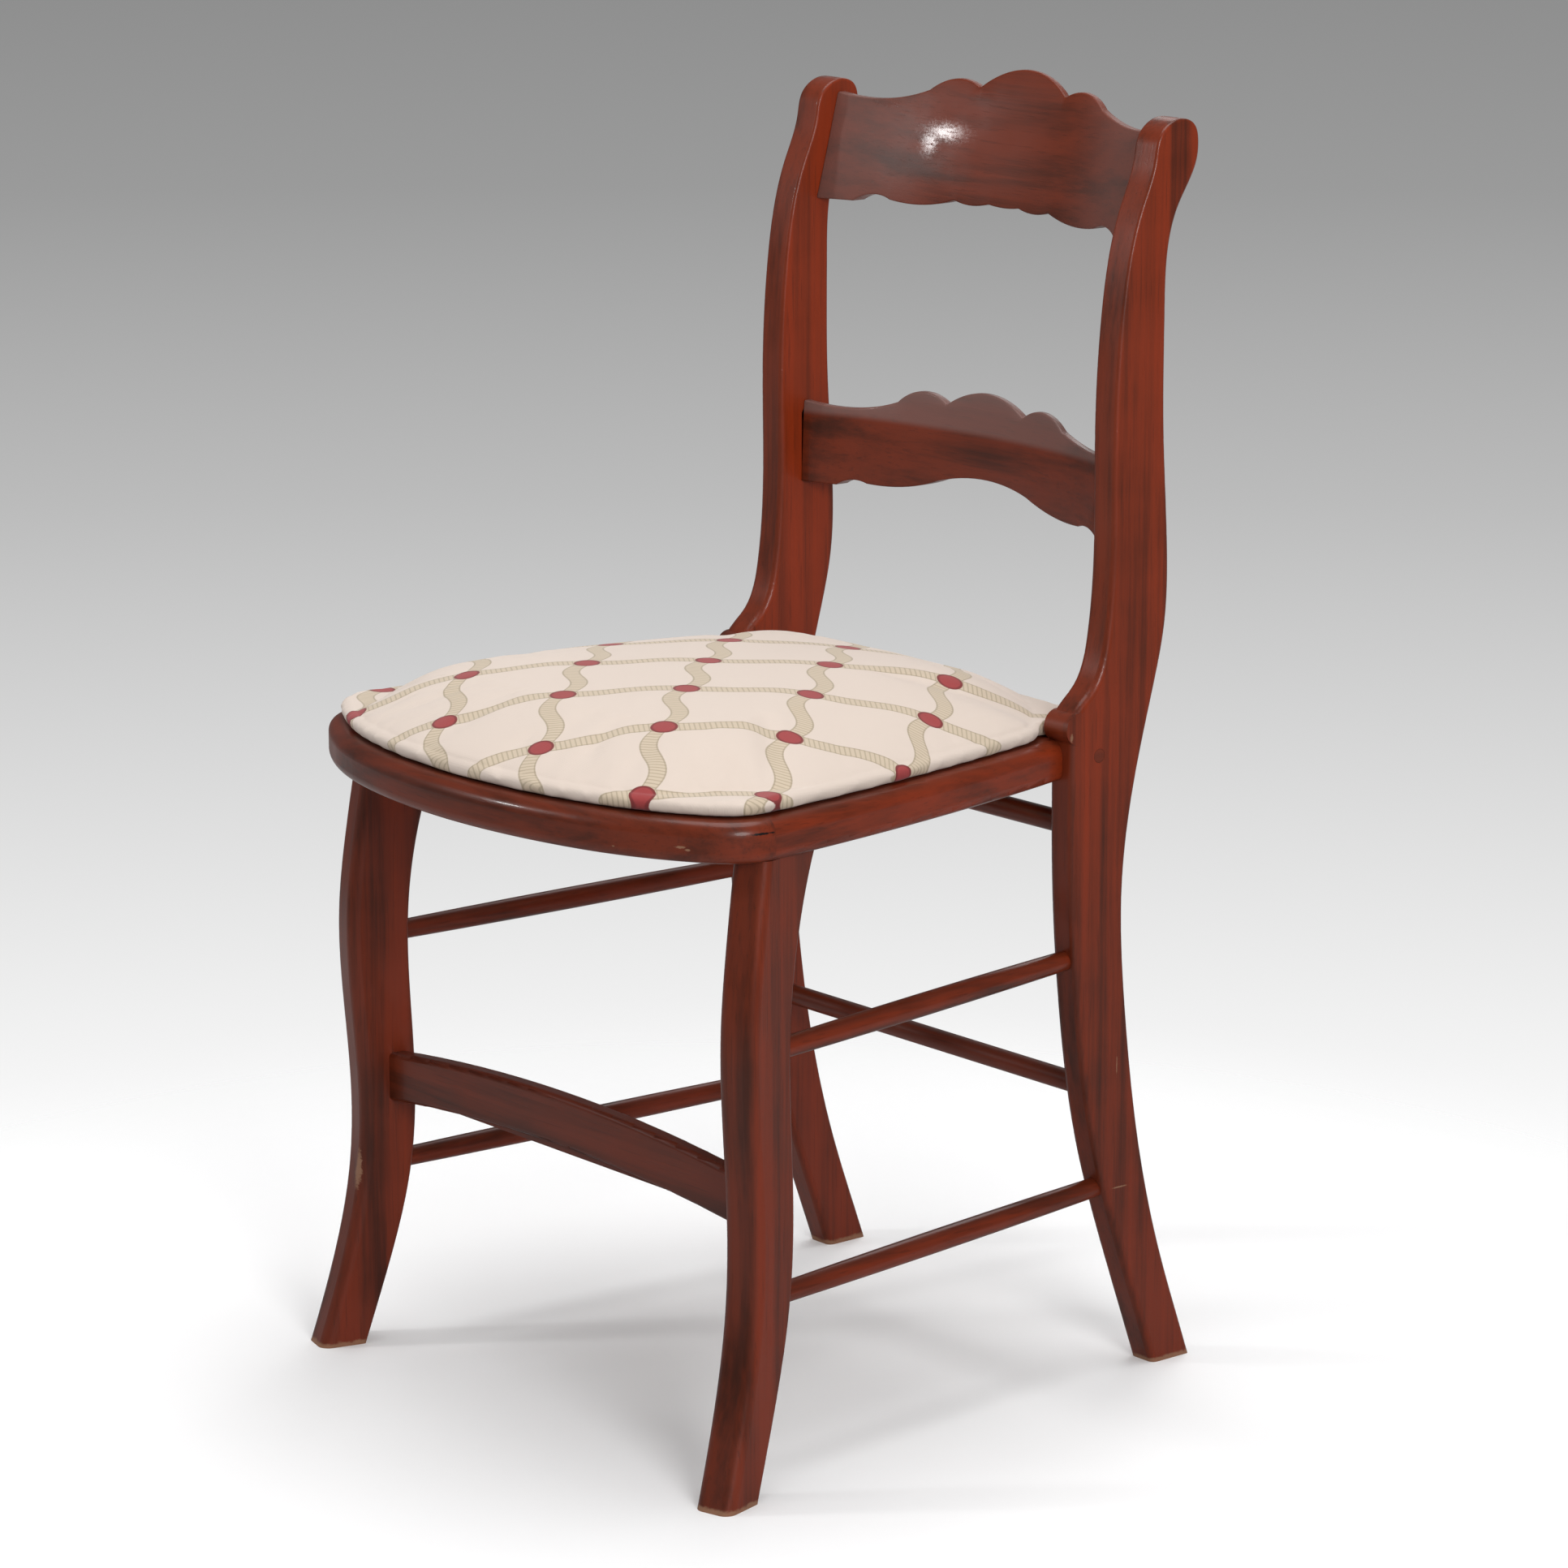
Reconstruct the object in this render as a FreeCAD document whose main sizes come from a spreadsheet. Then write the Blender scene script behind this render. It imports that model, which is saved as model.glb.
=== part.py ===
import FreeCAD, Part

import math
import os

# Side chair in dark varnished wood, with swept posts, scalloped back rails and an upholstered seat.
# Millimetres; +Z up; the sitter faces -Y; the origin lies on the floor, under the middle of the chair.

SIZES = (
    # Seat frame
    ("seat_under_height", 412.0),
    ("frame_thickness", 27.0),
    ("seat_front_y", -248.87),
    ("seat_half_width", 220.0),
    ("front_radius", 460.8),
    ("shoulder_radius", 248.4),
    ("corner_radius", 46.0),
    ("front_corner_depth", 7.1),
    ("side_radius", 1760.0),
    ("side_end_reach", 12.5),
    ("frame_top_round", 10.0),
    ("frame_bottom_round", 7.0),
    ("front_rail_width", 70.0),
    ("side_rail_width", 46.0),
    ("opening_corner_radius", 20.0),
    ("rear_rail_depth", 54.0),
    ("rear_tenon_set_back", 30.0),
    ("rear_tenon_width", 24.0),
    ("rear_tenon_height", 15.0),
    ("rear_tenon_length", 11.0),
    # Rear posts
    ("post_front_y", 125.63),
    ("post_inner_half", 158.0),
    ("post_thickness", 22.0),
    ("post_height", 838.0),
    ("post_front_round", 4.5),
    ("post_rear_round", 2.0),
    ("post_foot_sweep", 80.4),
    ("post_foot_depth", 33.6),
    ("post_ankle_sweep", 50.2),
    ("post_ankle_depth", 34.4),
    ("post_shin_sweep", 24.0),
    ("post_shin_depth", 39.8),
    ("post_knee_sweep", 8.4),
    ("post_knee_depth", 42.4),
    ("post_thigh_sweep", 1.4),
    ("post_thigh_depth", 45.4),
    ("post_seat_depth", 61.0),
    ("nose_reach", 5.0),
    ("nose_height", 19.5),
    ("nose_crease", 3.0),
    ("post_root_sweep", 18.0),
    ("post_root_depth", 55.8),
    ("post_spring_sweep", 30.4),
    ("post_spring_depth", 50.9),
    ("post_waist_sweep", 35.0),
    ("post_waist_depth", 48.0),
    ("post_back_sweep", 35.2),
    ("post_back_depth", 43.0),
    ("post_shoulder_sweep", 40.0),
    ("post_shoulder_depth", 37.6),
    ("post_neck_sweep", 55.6),
    ("post_neck_depth", 32.6),
    ("post_scroll_sweep", 67.0),
    ("post_scroll_depth", 37.3),
    ("scroll_lip_sweep", 102.0),
    ("scroll_lip_drop", 4.8),
    ("scroll_heel_sweep", 105.2),
    ("scroll_heel_drop", 16.0),
    ("scroll_brow_sweep", 71.0),
    ("scroll_brow_drop", 10.5),
    ("scroll_crown_sweep", 90.0),
    # Front legs
    ("leg_turn_angle", 14.8),
    ("leg_inset", 16.3),
    ("leg_setback", 83.3),
    ("leg_thickness", 28.0),
    ("leg_front_round", 7.5),
    ("leg_rear_round", 2.5),
    ("leg_foot_reach", 41.4),
    ("leg_foot_depth", 32.6),
    ("leg_ankle_reach", 23.1),
    ("leg_ankle_depth", 34.0),
    ("leg_calf_reach", 11.2),
    ("leg_calf_depth", 36.9),
    ("leg_shin_reach", 9.2),
    ("leg_shin_depth", 39.2),
    ("leg_knee_reach", 15.3),
    ("leg_knee_depth", 42.2),
    ("leg_thigh_reach", 8.6),
    ("leg_thigh_depth", 44.2),
    ("leg_top_depth", 52.9),
    ("leg_tenon_diameter", 18.0),
    ("leg_tenon_length", 12.0),
    # Crest rail
    ("crest_drop", 81.0),
    ("crest_set_back", 66.7),
    ("crest_bow", 28.5),
    ("crest_lean_angle", 14.0),
    ("crest_thickness", 12.0),
    ("crest_top_thickness", 4.0),
    ("crest_lobe_height", 96.4),
    ("crest_notch_height", 82.0),
    ("crest_shoulder_height", 86.5),
    ("crest_turn_height", 77.5),
    ("crest_valley_height", 70.0),
    ("crest_end_height", 72.2),
    ("crest_cove_height", 5.0),
    ("crest_belly_start_height", 2.6),
    ("crest_belly_height", 1.1),
    ("crest_under_notch_height", 6.6),
    ("crest_petal_height", 4.3),
    ("crest_inner_notch_height", 6.6),
    ("crest_centre_height", 5.4),
    # Middle rail
    ("middle_set_back", 53.0),
    ("middle_bow", 29.0),
    ("middle_lean_angle", 0.0),
    ("middle_thickness", 12.0),
    ("middle_top_thickness", 4.5),
    ("middle_bevel_height", 47.5),
    ("middle_bevel_depth", 2.0),
    ("middle_lobe_height", 77.0),
    ("middle_notch_height", 65.6),
    ("middle_shoulder_height", 72.0),
    ("middle_turn_height", 62.4),
    ("middle_valley_height", 55.0),
    ("middle_end_height", 57.0),
    ("middle_cove_height", 4.5),
    ("middle_belly_start_height", 3.0),
    ("middle_belly_height", 3.2),
    ("middle_under_notch_height", 12.4),
    ("middle_centre_height", 18.3),
    # Back rail tenons
    ("rail_tenon_length", 12.0),
    ("rail_tenon_cheek", 2.0),
    ("rail_tenon_shoulder", 10.0),
    # Front stretcher
    ("front_stretcher_set_back", 6.7),
    ("front_stretcher_thickness", 13.0),
    ("front_stretcher_end_under", 169.5),
    ("front_stretcher_end_height", 34.0),
    ("front_stretcher_centre_under", 180.5),
    ("front_stretcher_centre_height", 34.0),
    ("front_stretcher_round", 3.5),
    ("front_tenon_length", 14.0),
    ("front_tenon_thickness", 7.0),
    ("front_tenon_height", 20.0),
    # Round stretchers
    ("side_upper_front_drop", 127.5),
    ("side_upper_rear_drop", 121.0),
    ("side_lower_front_height", 124.5),
    ("side_lower_rear_height", 130.2),
    ("side_end_diameter", 13.0),
    ("side_middle_diameter", 15.0),
    ("rear_stretcher_height", 197.0),
    ("rear_stretcher_diameter", 14.2),
    ("rear_rung_drop", 35.0),
    ("rear_rung_diameter", 15.0),
    ("stretcher_tenon_diameter", 10.0),
    ("stretcher_tenon_length", 12.0),
    # Upholstered seat
    ("cushion_inset", 8.0),
    ("cushion_rear_set_back", 50.0),
    ("cushion_rear_bow", 5.0),
    ("cushion_post_gap", 2.5),
    ("cushion_turn_length", 22.0),
    ("cushion_rear_corner", 26.0),
    ("cushion_crown_height", 46.0),
    ("cover_thickness", 1.2),
    ("cover_turn_under", 24.0),
    ("board_thickness", 9.0),
    ("board_inset", 5.0),
    ("padding_gap", 0.3),
    # Fasteners
    ("dowel_diameter", 6.0),
    ("dowel_length", 28.0),
    ("dowel_below_top", 7.5),
    ("dowel_edge_inset", 13.0),
    ("post_screw_diameter", 4.0),
    ("post_screw_head_diameter", 8.0),
    ("post_screw_length", 42.0),
    ("post_plug_diameter", 9.0),
    ("post_plug_depth", 4.0),
    ("post_screw_set_back", 24.0),
    ("post_screw_below_top", 11.0),
    ("seat_screw_diameter", 4.0),
    ("seat_screw_head_diameter", 8.0),
    ("seat_screw_head_height", 3.0),
    ("seat_screw_bite", 6.0),
    ("seat_screw_inset", 37.0),
    ("seat_screw_reach", 90.0),
    # Fits
    ("tenon_clearance", 0.15),
    ("socket_end_gap", 0.5),
)

os.makedirs("parts", exist_ok=True)
doc = FreeCAD.newDocument("side_chair")
sheet = doc.addObject("Spreadsheet::Sheet", "Sizes")
for row, (name, value) in enumerate(SIZES, start=1):
    sheet.set("A%d" % row, name)
    sheet.set("B%d" % row, str(value))
    sheet.setAlias("B%d" % row, name)
doc.recompute()


def size(name):
    return float(sheet.get(name))


def vector(x, y, z=0.0):
    return FreeCAD.Vector(x, y, z)


# Heights and places that follow from the sizes

FRAME_TOP = size("seat_under_height") + size("frame_thickness")
POST_MIDDLE = size("post_inner_half") + size("post_thickness") / 2
POST_OUTER = size("post_inner_half") + size("post_thickness")
TURN = math.radians(size("leg_turn_angle"))
CLEAR = size("tenon_clearance")
END_GAP = size("socket_end_gap")
SIDES = (("right", 1), ("left", -1))

# Where the middle rail's underside stands on the way from the seat frame up to the crest rail's
MIDDLE_PLACE = 0.3836
CREST_UNDER = size("post_height") - size("crest_drop")
RAIL_UNDER = {"crest": CREST_UNDER, "middle": FRAME_TOP + MIDDLE_PLACE * (CREST_UNDER - FRAME_TOP)}

# How far a cutting or trimming solid runs past the face that it cuts
PAST = 1.0

# How near two places are to count as the same
NEAR = 0.01


# Helpers for curves, sketches and solids

def line(start, end):
    return Part.LineSegment(start, end)


def arc(start, middle, end):
    return Part.Arc(start, middle, end)


def curve(points, start_way=None, end_way=None):
    """Smooth curve through points, with the way it leaves and arrives where these matter."""
    spline = Part.BSplineCurve()
    if start_way:
        spline.interpolate(Points=points, InitialTangent=start_way.normalize(), FinalTangent=end_way.normalize(),
                           Scale=False)
    else:
        spline.interpolate(Points=points)
    return spline


def plane_of(body, role):
    return next(item for item in body.Origin.OriginFeatures if item.Role == role)


def new_body(name):
    return doc.addObject("PartDesign::Body", name)


def sketch_in(body, role, curves, name):
    sketch = body.newObject("Sketcher::SketchObject", name)
    sketch.AttachmentSupport = (plane_of(body, role), [""])
    sketch.MapMode = "FlatFace"
    for piece in curves:
        sketch.addGeometry(piece, False)
    return sketch


def pad(body, sketch, length, midplane=False):
    feature = body.newObject("PartDesign::Pad", sketch.Name + "_pad")
    feature.Profile = sketch
    feature.setExpression("Length", length)
    feature.Midplane = midplane
    doc.recompute()
    return feature


def round_edges(body, base, radius, wanted):
    """Fillet of the edges of base that the test picks out."""
    names = ["Edge%d" % (k + 1) for k, edge in enumerate(base.Shape.Edges) if wanted(edge)]
    feature = body.newObject("PartDesign::Fillet", base.Name + "_round")
    feature.Base = (base, names)
    feature.setExpression("Radius", radius)
    doc.recompute()
    return feature


def give(item, prop, value):
    """Size of a solid: an expression on the sheet, or a length worked out from it."""
    if isinstance(value, str):
        item.setExpression(prop, value)
    else:
        setattr(item, prop, value)


def cylinder(name, start, way, radius, length):
    """Round bar or bore from a start point along a way."""
    item = doc.addObject("Part::Cylinder", name)
    give(item, "Radius", radius)
    give(item, "Height", length)
    item.Placement = FreeCAD.Placement(start, FreeCAD.Rotation(vector(0, 0, 1), way))
    return item


def box(name, low, length, width, height):
    item = doc.addObject("Part::Box", name)
    give(item, "Length", length)
    give(item, "Width", width)
    give(item, "Height", height)
    item.Placement.Base = low
    return item


def fuse(name, items):
    item = doc.addObject("Part::MultiFuse", name)
    item.Shapes = items
    item.Refine = True
    return item


def common(name, items):
    item = doc.addObject("Part::MultiCommon", name)
    item.Shapes = items
    return item


def cut(name, base, tools):
    item = doc.addObject("Part::Cut", name)
    item.Base = base
    item.Tool = tools[0] if len(tools) == 1 else fuse(name + "_cutters", tools)
    return item


cutters = {}
nodes = {}


def cut_into(host, tool):
    """Note a socket or bore that is taken out of a host piece once all are known."""
    cutters.setdefault(host, []).append(tool)


def keep(name, item):
    item.Label = name
    nodes[name] = item


# Rear posts: one curved plank each, from a foot swept back to a scroll over the crest rail

LOWER_STATIONS = ((0.0, "foot"), (0.2, "ankle"), (0.4, "shin"), (0.62, "knee"), (0.82, "thigh"))
UPPER_STATIONS = ((0.085, "root"), (0.17, "spring"), (0.3, "waist"), (0.5, "back"), (0.69, "shoulder"),
                  (0.86, "neck"), (0.935, "scroll"))


def post_curves():
    """Front and rear curves of a post, as (back from the seat's rear plane, height)."""
    back_height = size("post_height") - FRAME_TOP
    lower_front, lower_rear = [], []
    for share, station in LOWER_STATIONS:
        height = share * size("seat_under_height")
        sweep = size("post_%s_sweep" % station)
        lower_front.append(vector(sweep, height))
        lower_rear.append(vector(sweep + size("post_%s_depth" % station), height))
    lower_front.append(vector(0, size("seat_under_height")))
    upper_front, upper_rear = [], []
    for share, station in UPPER_STATIONS:
        height = FRAME_TOP + share * back_height
        sweep = size("post_%s_sweep" % station)
        upper_front.append(vector(sweep, height))
        upper_rear.append(vector(sweep + size("post_%s_depth" % station), height))
    crease = vector(size("nose_crease"), FRAME_TOP + size("nose_height"))
    crown = vector(size("scroll_crown_sweep"), size("post_height"))
    brow, lip, heel = (vector(size("scroll_%s_sweep" % name), size("post_height") - size("scroll_%s_drop" % name))
                       for name in ("brow", "lip", "heel"))
    seat_rear = vector(size("post_seat_depth"), size("seat_under_height") + size("frame_thickness") / 2)
    foot_way = lower_front[1] - lower_front[0]
    rear_foot_way = lower_rear[0] - lower_rear[1]
    front_low = curve(lower_front, foot_way, vector(0, 1))
    back = vector(1, 0)
    front_high = curve([crease] + upper_front + [brow, crown], vector(0.6, 0.8), back)
    rear = curve([crown, lip, heel] + upper_rear[::-1] + [seat_rear] + lower_rear[::-1], back, rear_foot_way)
    return front_low, front_high, rear, crease


def post_profile():
    front_low, front_high, rear, crease = post_curves()
    seat_low = vector(0, size("seat_under_height"))
    seat_high = vector(0, FRAME_TOP)
    nose = vector(-size("nose_reach"), FRAME_TOP + size("nose_height") / 2)
    foot_front = vector(size("post_foot_sweep"), 0)
    foot_rear = vector(size("post_foot_sweep") + size("post_foot_depth"), 0)
    return [front_low, line(seat_low, seat_high), arc(seat_high, nose, crease), front_high, rear,
            line(foot_rear, foot_front)]


def reach_at(spline, height):
    """Distance of a rising or falling curve from its own upright line, at a height."""
    low, high = spline.FirstParameter, spline.LastParameter
    rising = spline.value(high).y > spline.value(low).y
    for step in range(40):
        middle = (low + high) / 2
        if (spline.value(middle).y < height) == rising:
            low = middle
        else:
            high = middle
    return spline.value(middle).x


POST_FRONT_LOW = post_curves()[0]

# Height that only the scroll's end of a post passes
POST_HIGH = size("post_height") * 0.95


def post_blank(side, sign):
    body = new_body("post_plank_" + side)
    sketch = sketch_in(body, "YZ_Plane", post_profile(), "post_profile_" + side)
    pad(body, sketch, "Sizes.post_thickness", midplane=True)
    body.Placement.Base = vector(sign * POST_MIDDLE, size("post_front_y"), 0)
    doc.recompute()
    front, rear = size("post_front_round"), size("post_rear_round")
    rounds = []
    for number, edge in enumerate(body.Shape.Edges, start=1):
        off_face = abs(edge.CenterOfMass.x - sign * POST_MIDDLE) - size("post_thickness") / 2
        if edge.Curve.TypeId != "Part::GeomBSplineCurve" or abs(off_face) > NEAR:
            continue
        behind = edge.BoundBox.ZLength > POST_HIGH
        low = rear if behind else front
        high = rear if edge.BoundBox.ZMax > POST_HIGH else front
        rising = edge.valueAt(edge.LastParameter).z > edge.valueAt(edge.FirstParameter).z
        rounds.append((number, low, high) if rising else (number, high, low))
    blank = doc.addObject("Part::Fillet", "post_blank_" + side)
    blank.Base = body
    blank.Edges = rounds
    doc.recompute()
    return blank


# Front legs: planks cut to an S and set in upright planes that turn outwards

LEG_STATIONS = ((0.0, "foot"), (0.146, "ankle"), (0.291, "calf"), (0.437, "shin"), (0.728, "knee"),
                (0.874, "thigh"))


def leg_curves():
    """Front and rear curves of a leg, as (back from the front of its top, height)."""
    height = size("seat_under_height")
    front, rear = [], []
    for share, station in LEG_STATIONS:
        reach = size("leg_%s_reach" % station)
        front.append(vector(-reach, share * height))
        rear.append(vector(size("leg_%s_depth" % station) - reach, share * height))
    front.append(vector(0, height))
    rear.append(vector(size("leg_top_depth"), height))
    return curve(front), curve(rear)


LEG_FRONT, LEG_REAR = leg_curves()
LEG_X = size("seat_half_width") - size("leg_inset")
LEG_Y = size("seat_front_y") + size("leg_setback")


def leg_point(sign, back, height):
    """Point on a leg's middle plane, a distance back from the front of its top."""
    return vector(sign * (LEG_X - back * math.sin(TURN)), LEG_Y + back * math.cos(TURN), height)


def leg_blank(side, sign):
    height = size("seat_under_height")
    foot = line(vector(size("leg_foot_depth") - size("leg_foot_reach"), 0), vector(-size("leg_foot_reach"), 0))
    top = line(vector(0, height), vector(size("leg_top_depth"), height))
    body = new_body("leg_blank_" + side)
    sketch = sketch_in(body, "YZ_Plane", [foot, LEG_FRONT, top, LEG_REAR], "leg_profile_" + side)
    plank = pad(body, sketch, "Sizes.leg_thickness", midplane=True)
    half = size("leg_thickness") / 2

    def arris(edge, front):
        on_face = abs(abs(edge.CenterOfMass.x) - half) < NEAR
        long = edge.BoundBox.ZMax - edge.BoundBox.ZMin > height / 2
        return on_face and long and (edge.CenterOfMass.y < plank.Shape.CenterOfMass.y) == front

    rounded = round_edges(body, plank, "Sizes.leg_front_round", lambda edge: arris(edge, True))
    round_edges(body, rounded, "Sizes.leg_rear_round", lambda edge: arris(edge, False))
    turn = FreeCAD.Rotation(vector(0, 0, 1), sign * size("leg_turn_angle"))
    body.Placement = FreeCAD.Placement(leg_point(sign, 0, 0), turn)
    return body


# Seat outline: arcs that run into each other, from the middle of the front to the post

def crossing(first, first_radius, second, second_radius):
    """Left-hand crossing point of two circles."""
    gap = second - first
    span = gap.Length
    along = (first_radius ** 2 - second_radius ** 2 + span ** 2) / (2 * span)
    across = math.sqrt(first_radius ** 2 - along ** 2)
    unit = gap * (1 / span)
    return first + unit * along + vector(-unit.y, unit.x) * across


class SeatOutline:
    """Centres of the arcs of the seat's right half."""

    def __init__(self):
        self.front = size("seat_front_y")
        self.corner_radius = size("corner_radius")
        self.shoulder_radius = size("shoulder_radius")
        self.side_radius = size("side_radius")
        self.front_radius = size("front_radius")
        self.front_centre = vector(0, self.front + self.front_radius)
        corner_x = size("seat_half_width") - self.corner_radius
        corner_reach = self.front_radius - self.corner_radius - size("front_corner_depth")
        corner_y = self.front_centre.y - math.sqrt(corner_reach ** 2 - corner_x ** 2)
        self.corner_centre = vector(corner_x, corner_y)
        self.shoulder_centre = crossing(self.corner_centre, self.shoulder_radius - self.corner_radius,
                                        self.front_centre, self.front_radius - self.shoulder_radius)
        self.out_shoulder = (self.shoulder_centre - self.front_centre).normalize()
        self.end = vector(size("post_inner_half") + size("side_end_reach"), size("post_front_y"))
        self.side_centre = crossing(self.corner_centre, self.side_radius - self.corner_radius,
                                    self.end, self.side_radius)

    def front_point(self, inset, x):
        radius = self.front_radius - inset
        return vector(x, self.front_centre.y - math.sqrt(radius ** 2 - x ** 2))

    def side_point(self, inset, y):
        radius = self.side_radius - inset
        rise = y - self.side_centre.y
        return vector(self.side_centre.x + math.sqrt(radius ** 2 - rise ** 2), y)

    def right_arcs(self, inset, end_y):
        """Start, middle and end of each arc of the right half, drawn in by an inset."""
        out_corner = (self.corner_centre - self.shoulder_centre).normalize()
        out_side = (self.corner_centre - self.side_centre).normalize()
        out_end = (self.side_point(inset, end_y) - self.side_centre).normalize()
        plan = ((self.front_centre, self.front_radius, vector(0, -1), self.out_shoulder),
                (self.shoulder_centre, self.shoulder_radius, self.out_shoulder, out_corner),
                (self.corner_centre, self.corner_radius, out_corner, out_side),
                (self.side_centre, self.side_radius, out_side, out_end))
        arcs = []
        for centre, radius, first, last in plan:
            middle = (first + last).normalize()
            arcs.append([centre + way * (radius - inset) for way in (first, middle, last)])
        return arcs


OUTLINE = SeatOutline()


def mirrored(points):
    return [vector(-point.x, point.y, point.z) for point in reversed(points)]


def closed_plan(right):
    """Curves of a closed plan from the pieces of its right half, front first."""
    left = [mirrored(piece) for piece in reversed(right)]
    pieces = right + left
    return [line(*piece) if len(piece) == 2 else arc(*piece) for piece in pieces]


def lifted(curves, height):
    wire = Part.Wire([piece.toShape() for piece in curves])
    wire.translate(vector(0, 0, height))
    return wire


# Seat frame: a rounded board sawn into front rail and side rails, closed behind by the rear rail

def frame_blank():
    right = OUTLINE.right_arcs(0, size("post_front_y"))
    right.append([OUTLINE.end, vector(0, size("post_front_y"))])
    body = new_body("frame_blank")
    sketch = sketch_in(body, "XY_Plane", closed_plan(right), "frame_outline")
    board = pad(body, sketch, "Sizes.frame_thickness")

    def rim(edge, height):
        level = abs(edge.BoundBox.ZMin - height) < NEAR and abs(edge.BoundBox.ZMax - height) < NEAR
        return level and edge.Curve.TypeId == "Part::GeomCircle"

    top = round_edges(body, board, "Sizes.frame_top_round", lambda edge: rim(edge, size("frame_thickness")))
    round_edges(body, top, "Sizes.frame_bottom_round", lambda edge: rim(edge, 0))
    opening_front = size("seat_front_y") + size("front_rail_width")
    opening_half = size("seat_half_width") - size("side_rail_width")
    opening_end = OUTLINE.end.x - size("side_rail_width")
    corner = size("opening_corner_radius")
    slope = (opening_half - opening_end) / (size("post_front_y") - opening_front)
    bevel = corner * (1 - math.sqrt(0.5))
    right = [[vector(0, opening_front), vector(opening_half - corner, opening_front)],
             [vector(opening_half - corner, opening_front),
              vector(opening_half - bevel - slope * bevel, opening_front + bevel),
              vector(opening_half - slope * corner, opening_front + corner)],
             [vector(opening_half - slope * corner, opening_front + corner),
              vector(opening_end, size("post_front_y"))],
             [vector(opening_end, size("post_front_y")), vector(0, size("post_front_y"))]]
    hole = sketch_in(body, "XY_Plane", closed_plan(right), "frame_opening")
    pocket = body.newObject("PartDesign::Pocket", "frame_opening_cut")
    pocket.Profile = hole
    pocket.Type = "ThroughAll"
    pocket.Reversed = True
    doc.recompute()
    body.setExpression("Placement.Base.z", "Sizes.seat_under_height")
    doc.recompute()
    return body


def frame_pieces():
    blank = frame_blank()
    reach = size("seat_half_width") + PAST
    joint_y = OUTLINE.corner_centre.y
    under = size("seat_under_height") - PAST
    front = size("seat_front_y") - PAST
    height = size("frame_thickness") + 2 * PAST
    front_box = box("front_rail_box", vector(-reach, front, under), 2 * reach, joint_y - front, height)
    pieces = {"seat_front_rail": common("front_rail_blank", [blank, front_box])}
    for side, sign in SIDES:
        low = vector(0 if sign > 0 else -reach, joint_y, under)
        side_box = box("side_rail_box_" + side, low, reach, size("post_front_y") + PAST - joint_y, height)
        pieces["seat_side_rail_" + side] = common("side_rail_blank_" + side, [blank, side_box])
    middle_y = size("post_front_y") + size("rear_tenon_set_back")
    middle_z = size("seat_under_height") + size("frame_thickness") / 2
    beam = box("rear_rail_beam", vector(-size("post_inner_half"), size("post_front_y"), size("seat_under_height")),
               "Sizes.post_inner_half * 2", "Sizes.rear_rail_depth", "Sizes.frame_thickness")
    reach = size("post_inner_half") + size("rear_tenon_length")
    low = vector(-reach, middle_y - size("rear_tenon_width") / 2, middle_z - size("rear_tenon_height") / 2)
    tenon = box("rear_rail_tenon", low, "(Sizes.post_inner_half + Sizes.rear_tenon_length) * 2",
                "Sizes.rear_tenon_width", "Sizes.rear_tenon_height")
    pieces["seat_rear_rail"] = fuse("rear_rail_blank", [beam, tenon])
    for side, sign in SIDES:
        start = -reach - END_GAP if sign < 0 else size("post_inner_half") - PAST
        low = vector(start, middle_y - size("rear_tenon_width") / 2 - CLEAR,
                     middle_z - size("rear_tenon_height") / 2 - CLEAR)
        socket = box("rear_rail_socket_" + side, low, size("rear_tenon_length") + END_GAP + PAST,
                     "Sizes.rear_tenon_width + Sizes.tenon_clearance * 2",
                     "Sizes.rear_tenon_height + Sizes.tenon_clearance * 2")
        cut_into("rear_post_" + side, socket)
    return pieces


# Back rails: scalloped boards, sawn from a slab that bows backwards and leans

# Where each scallop's marks stand, as shares of the rail's half length from its middle
PLACES = {"crest": {"notch": 0.268, "shoulder": 0.38, "turn": 0.544, "valley": 0.734, "flat": 0.829, "cove": 0.753,
                    "belly_start": 0.646, "belly": 0.487, "under_notch": 0.297, "petal": 0.196,
                    "inner_notch": 0.097},
          "middle": {"notch": 0.241, "shoulder": 0.361, "turn": 0.525, "valley": 0.728, "flat": 0.835, "cove": 0.76,
                     "belly_start": 0.677, "belly": 0.538, "under_notch": 0.28}}


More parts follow.
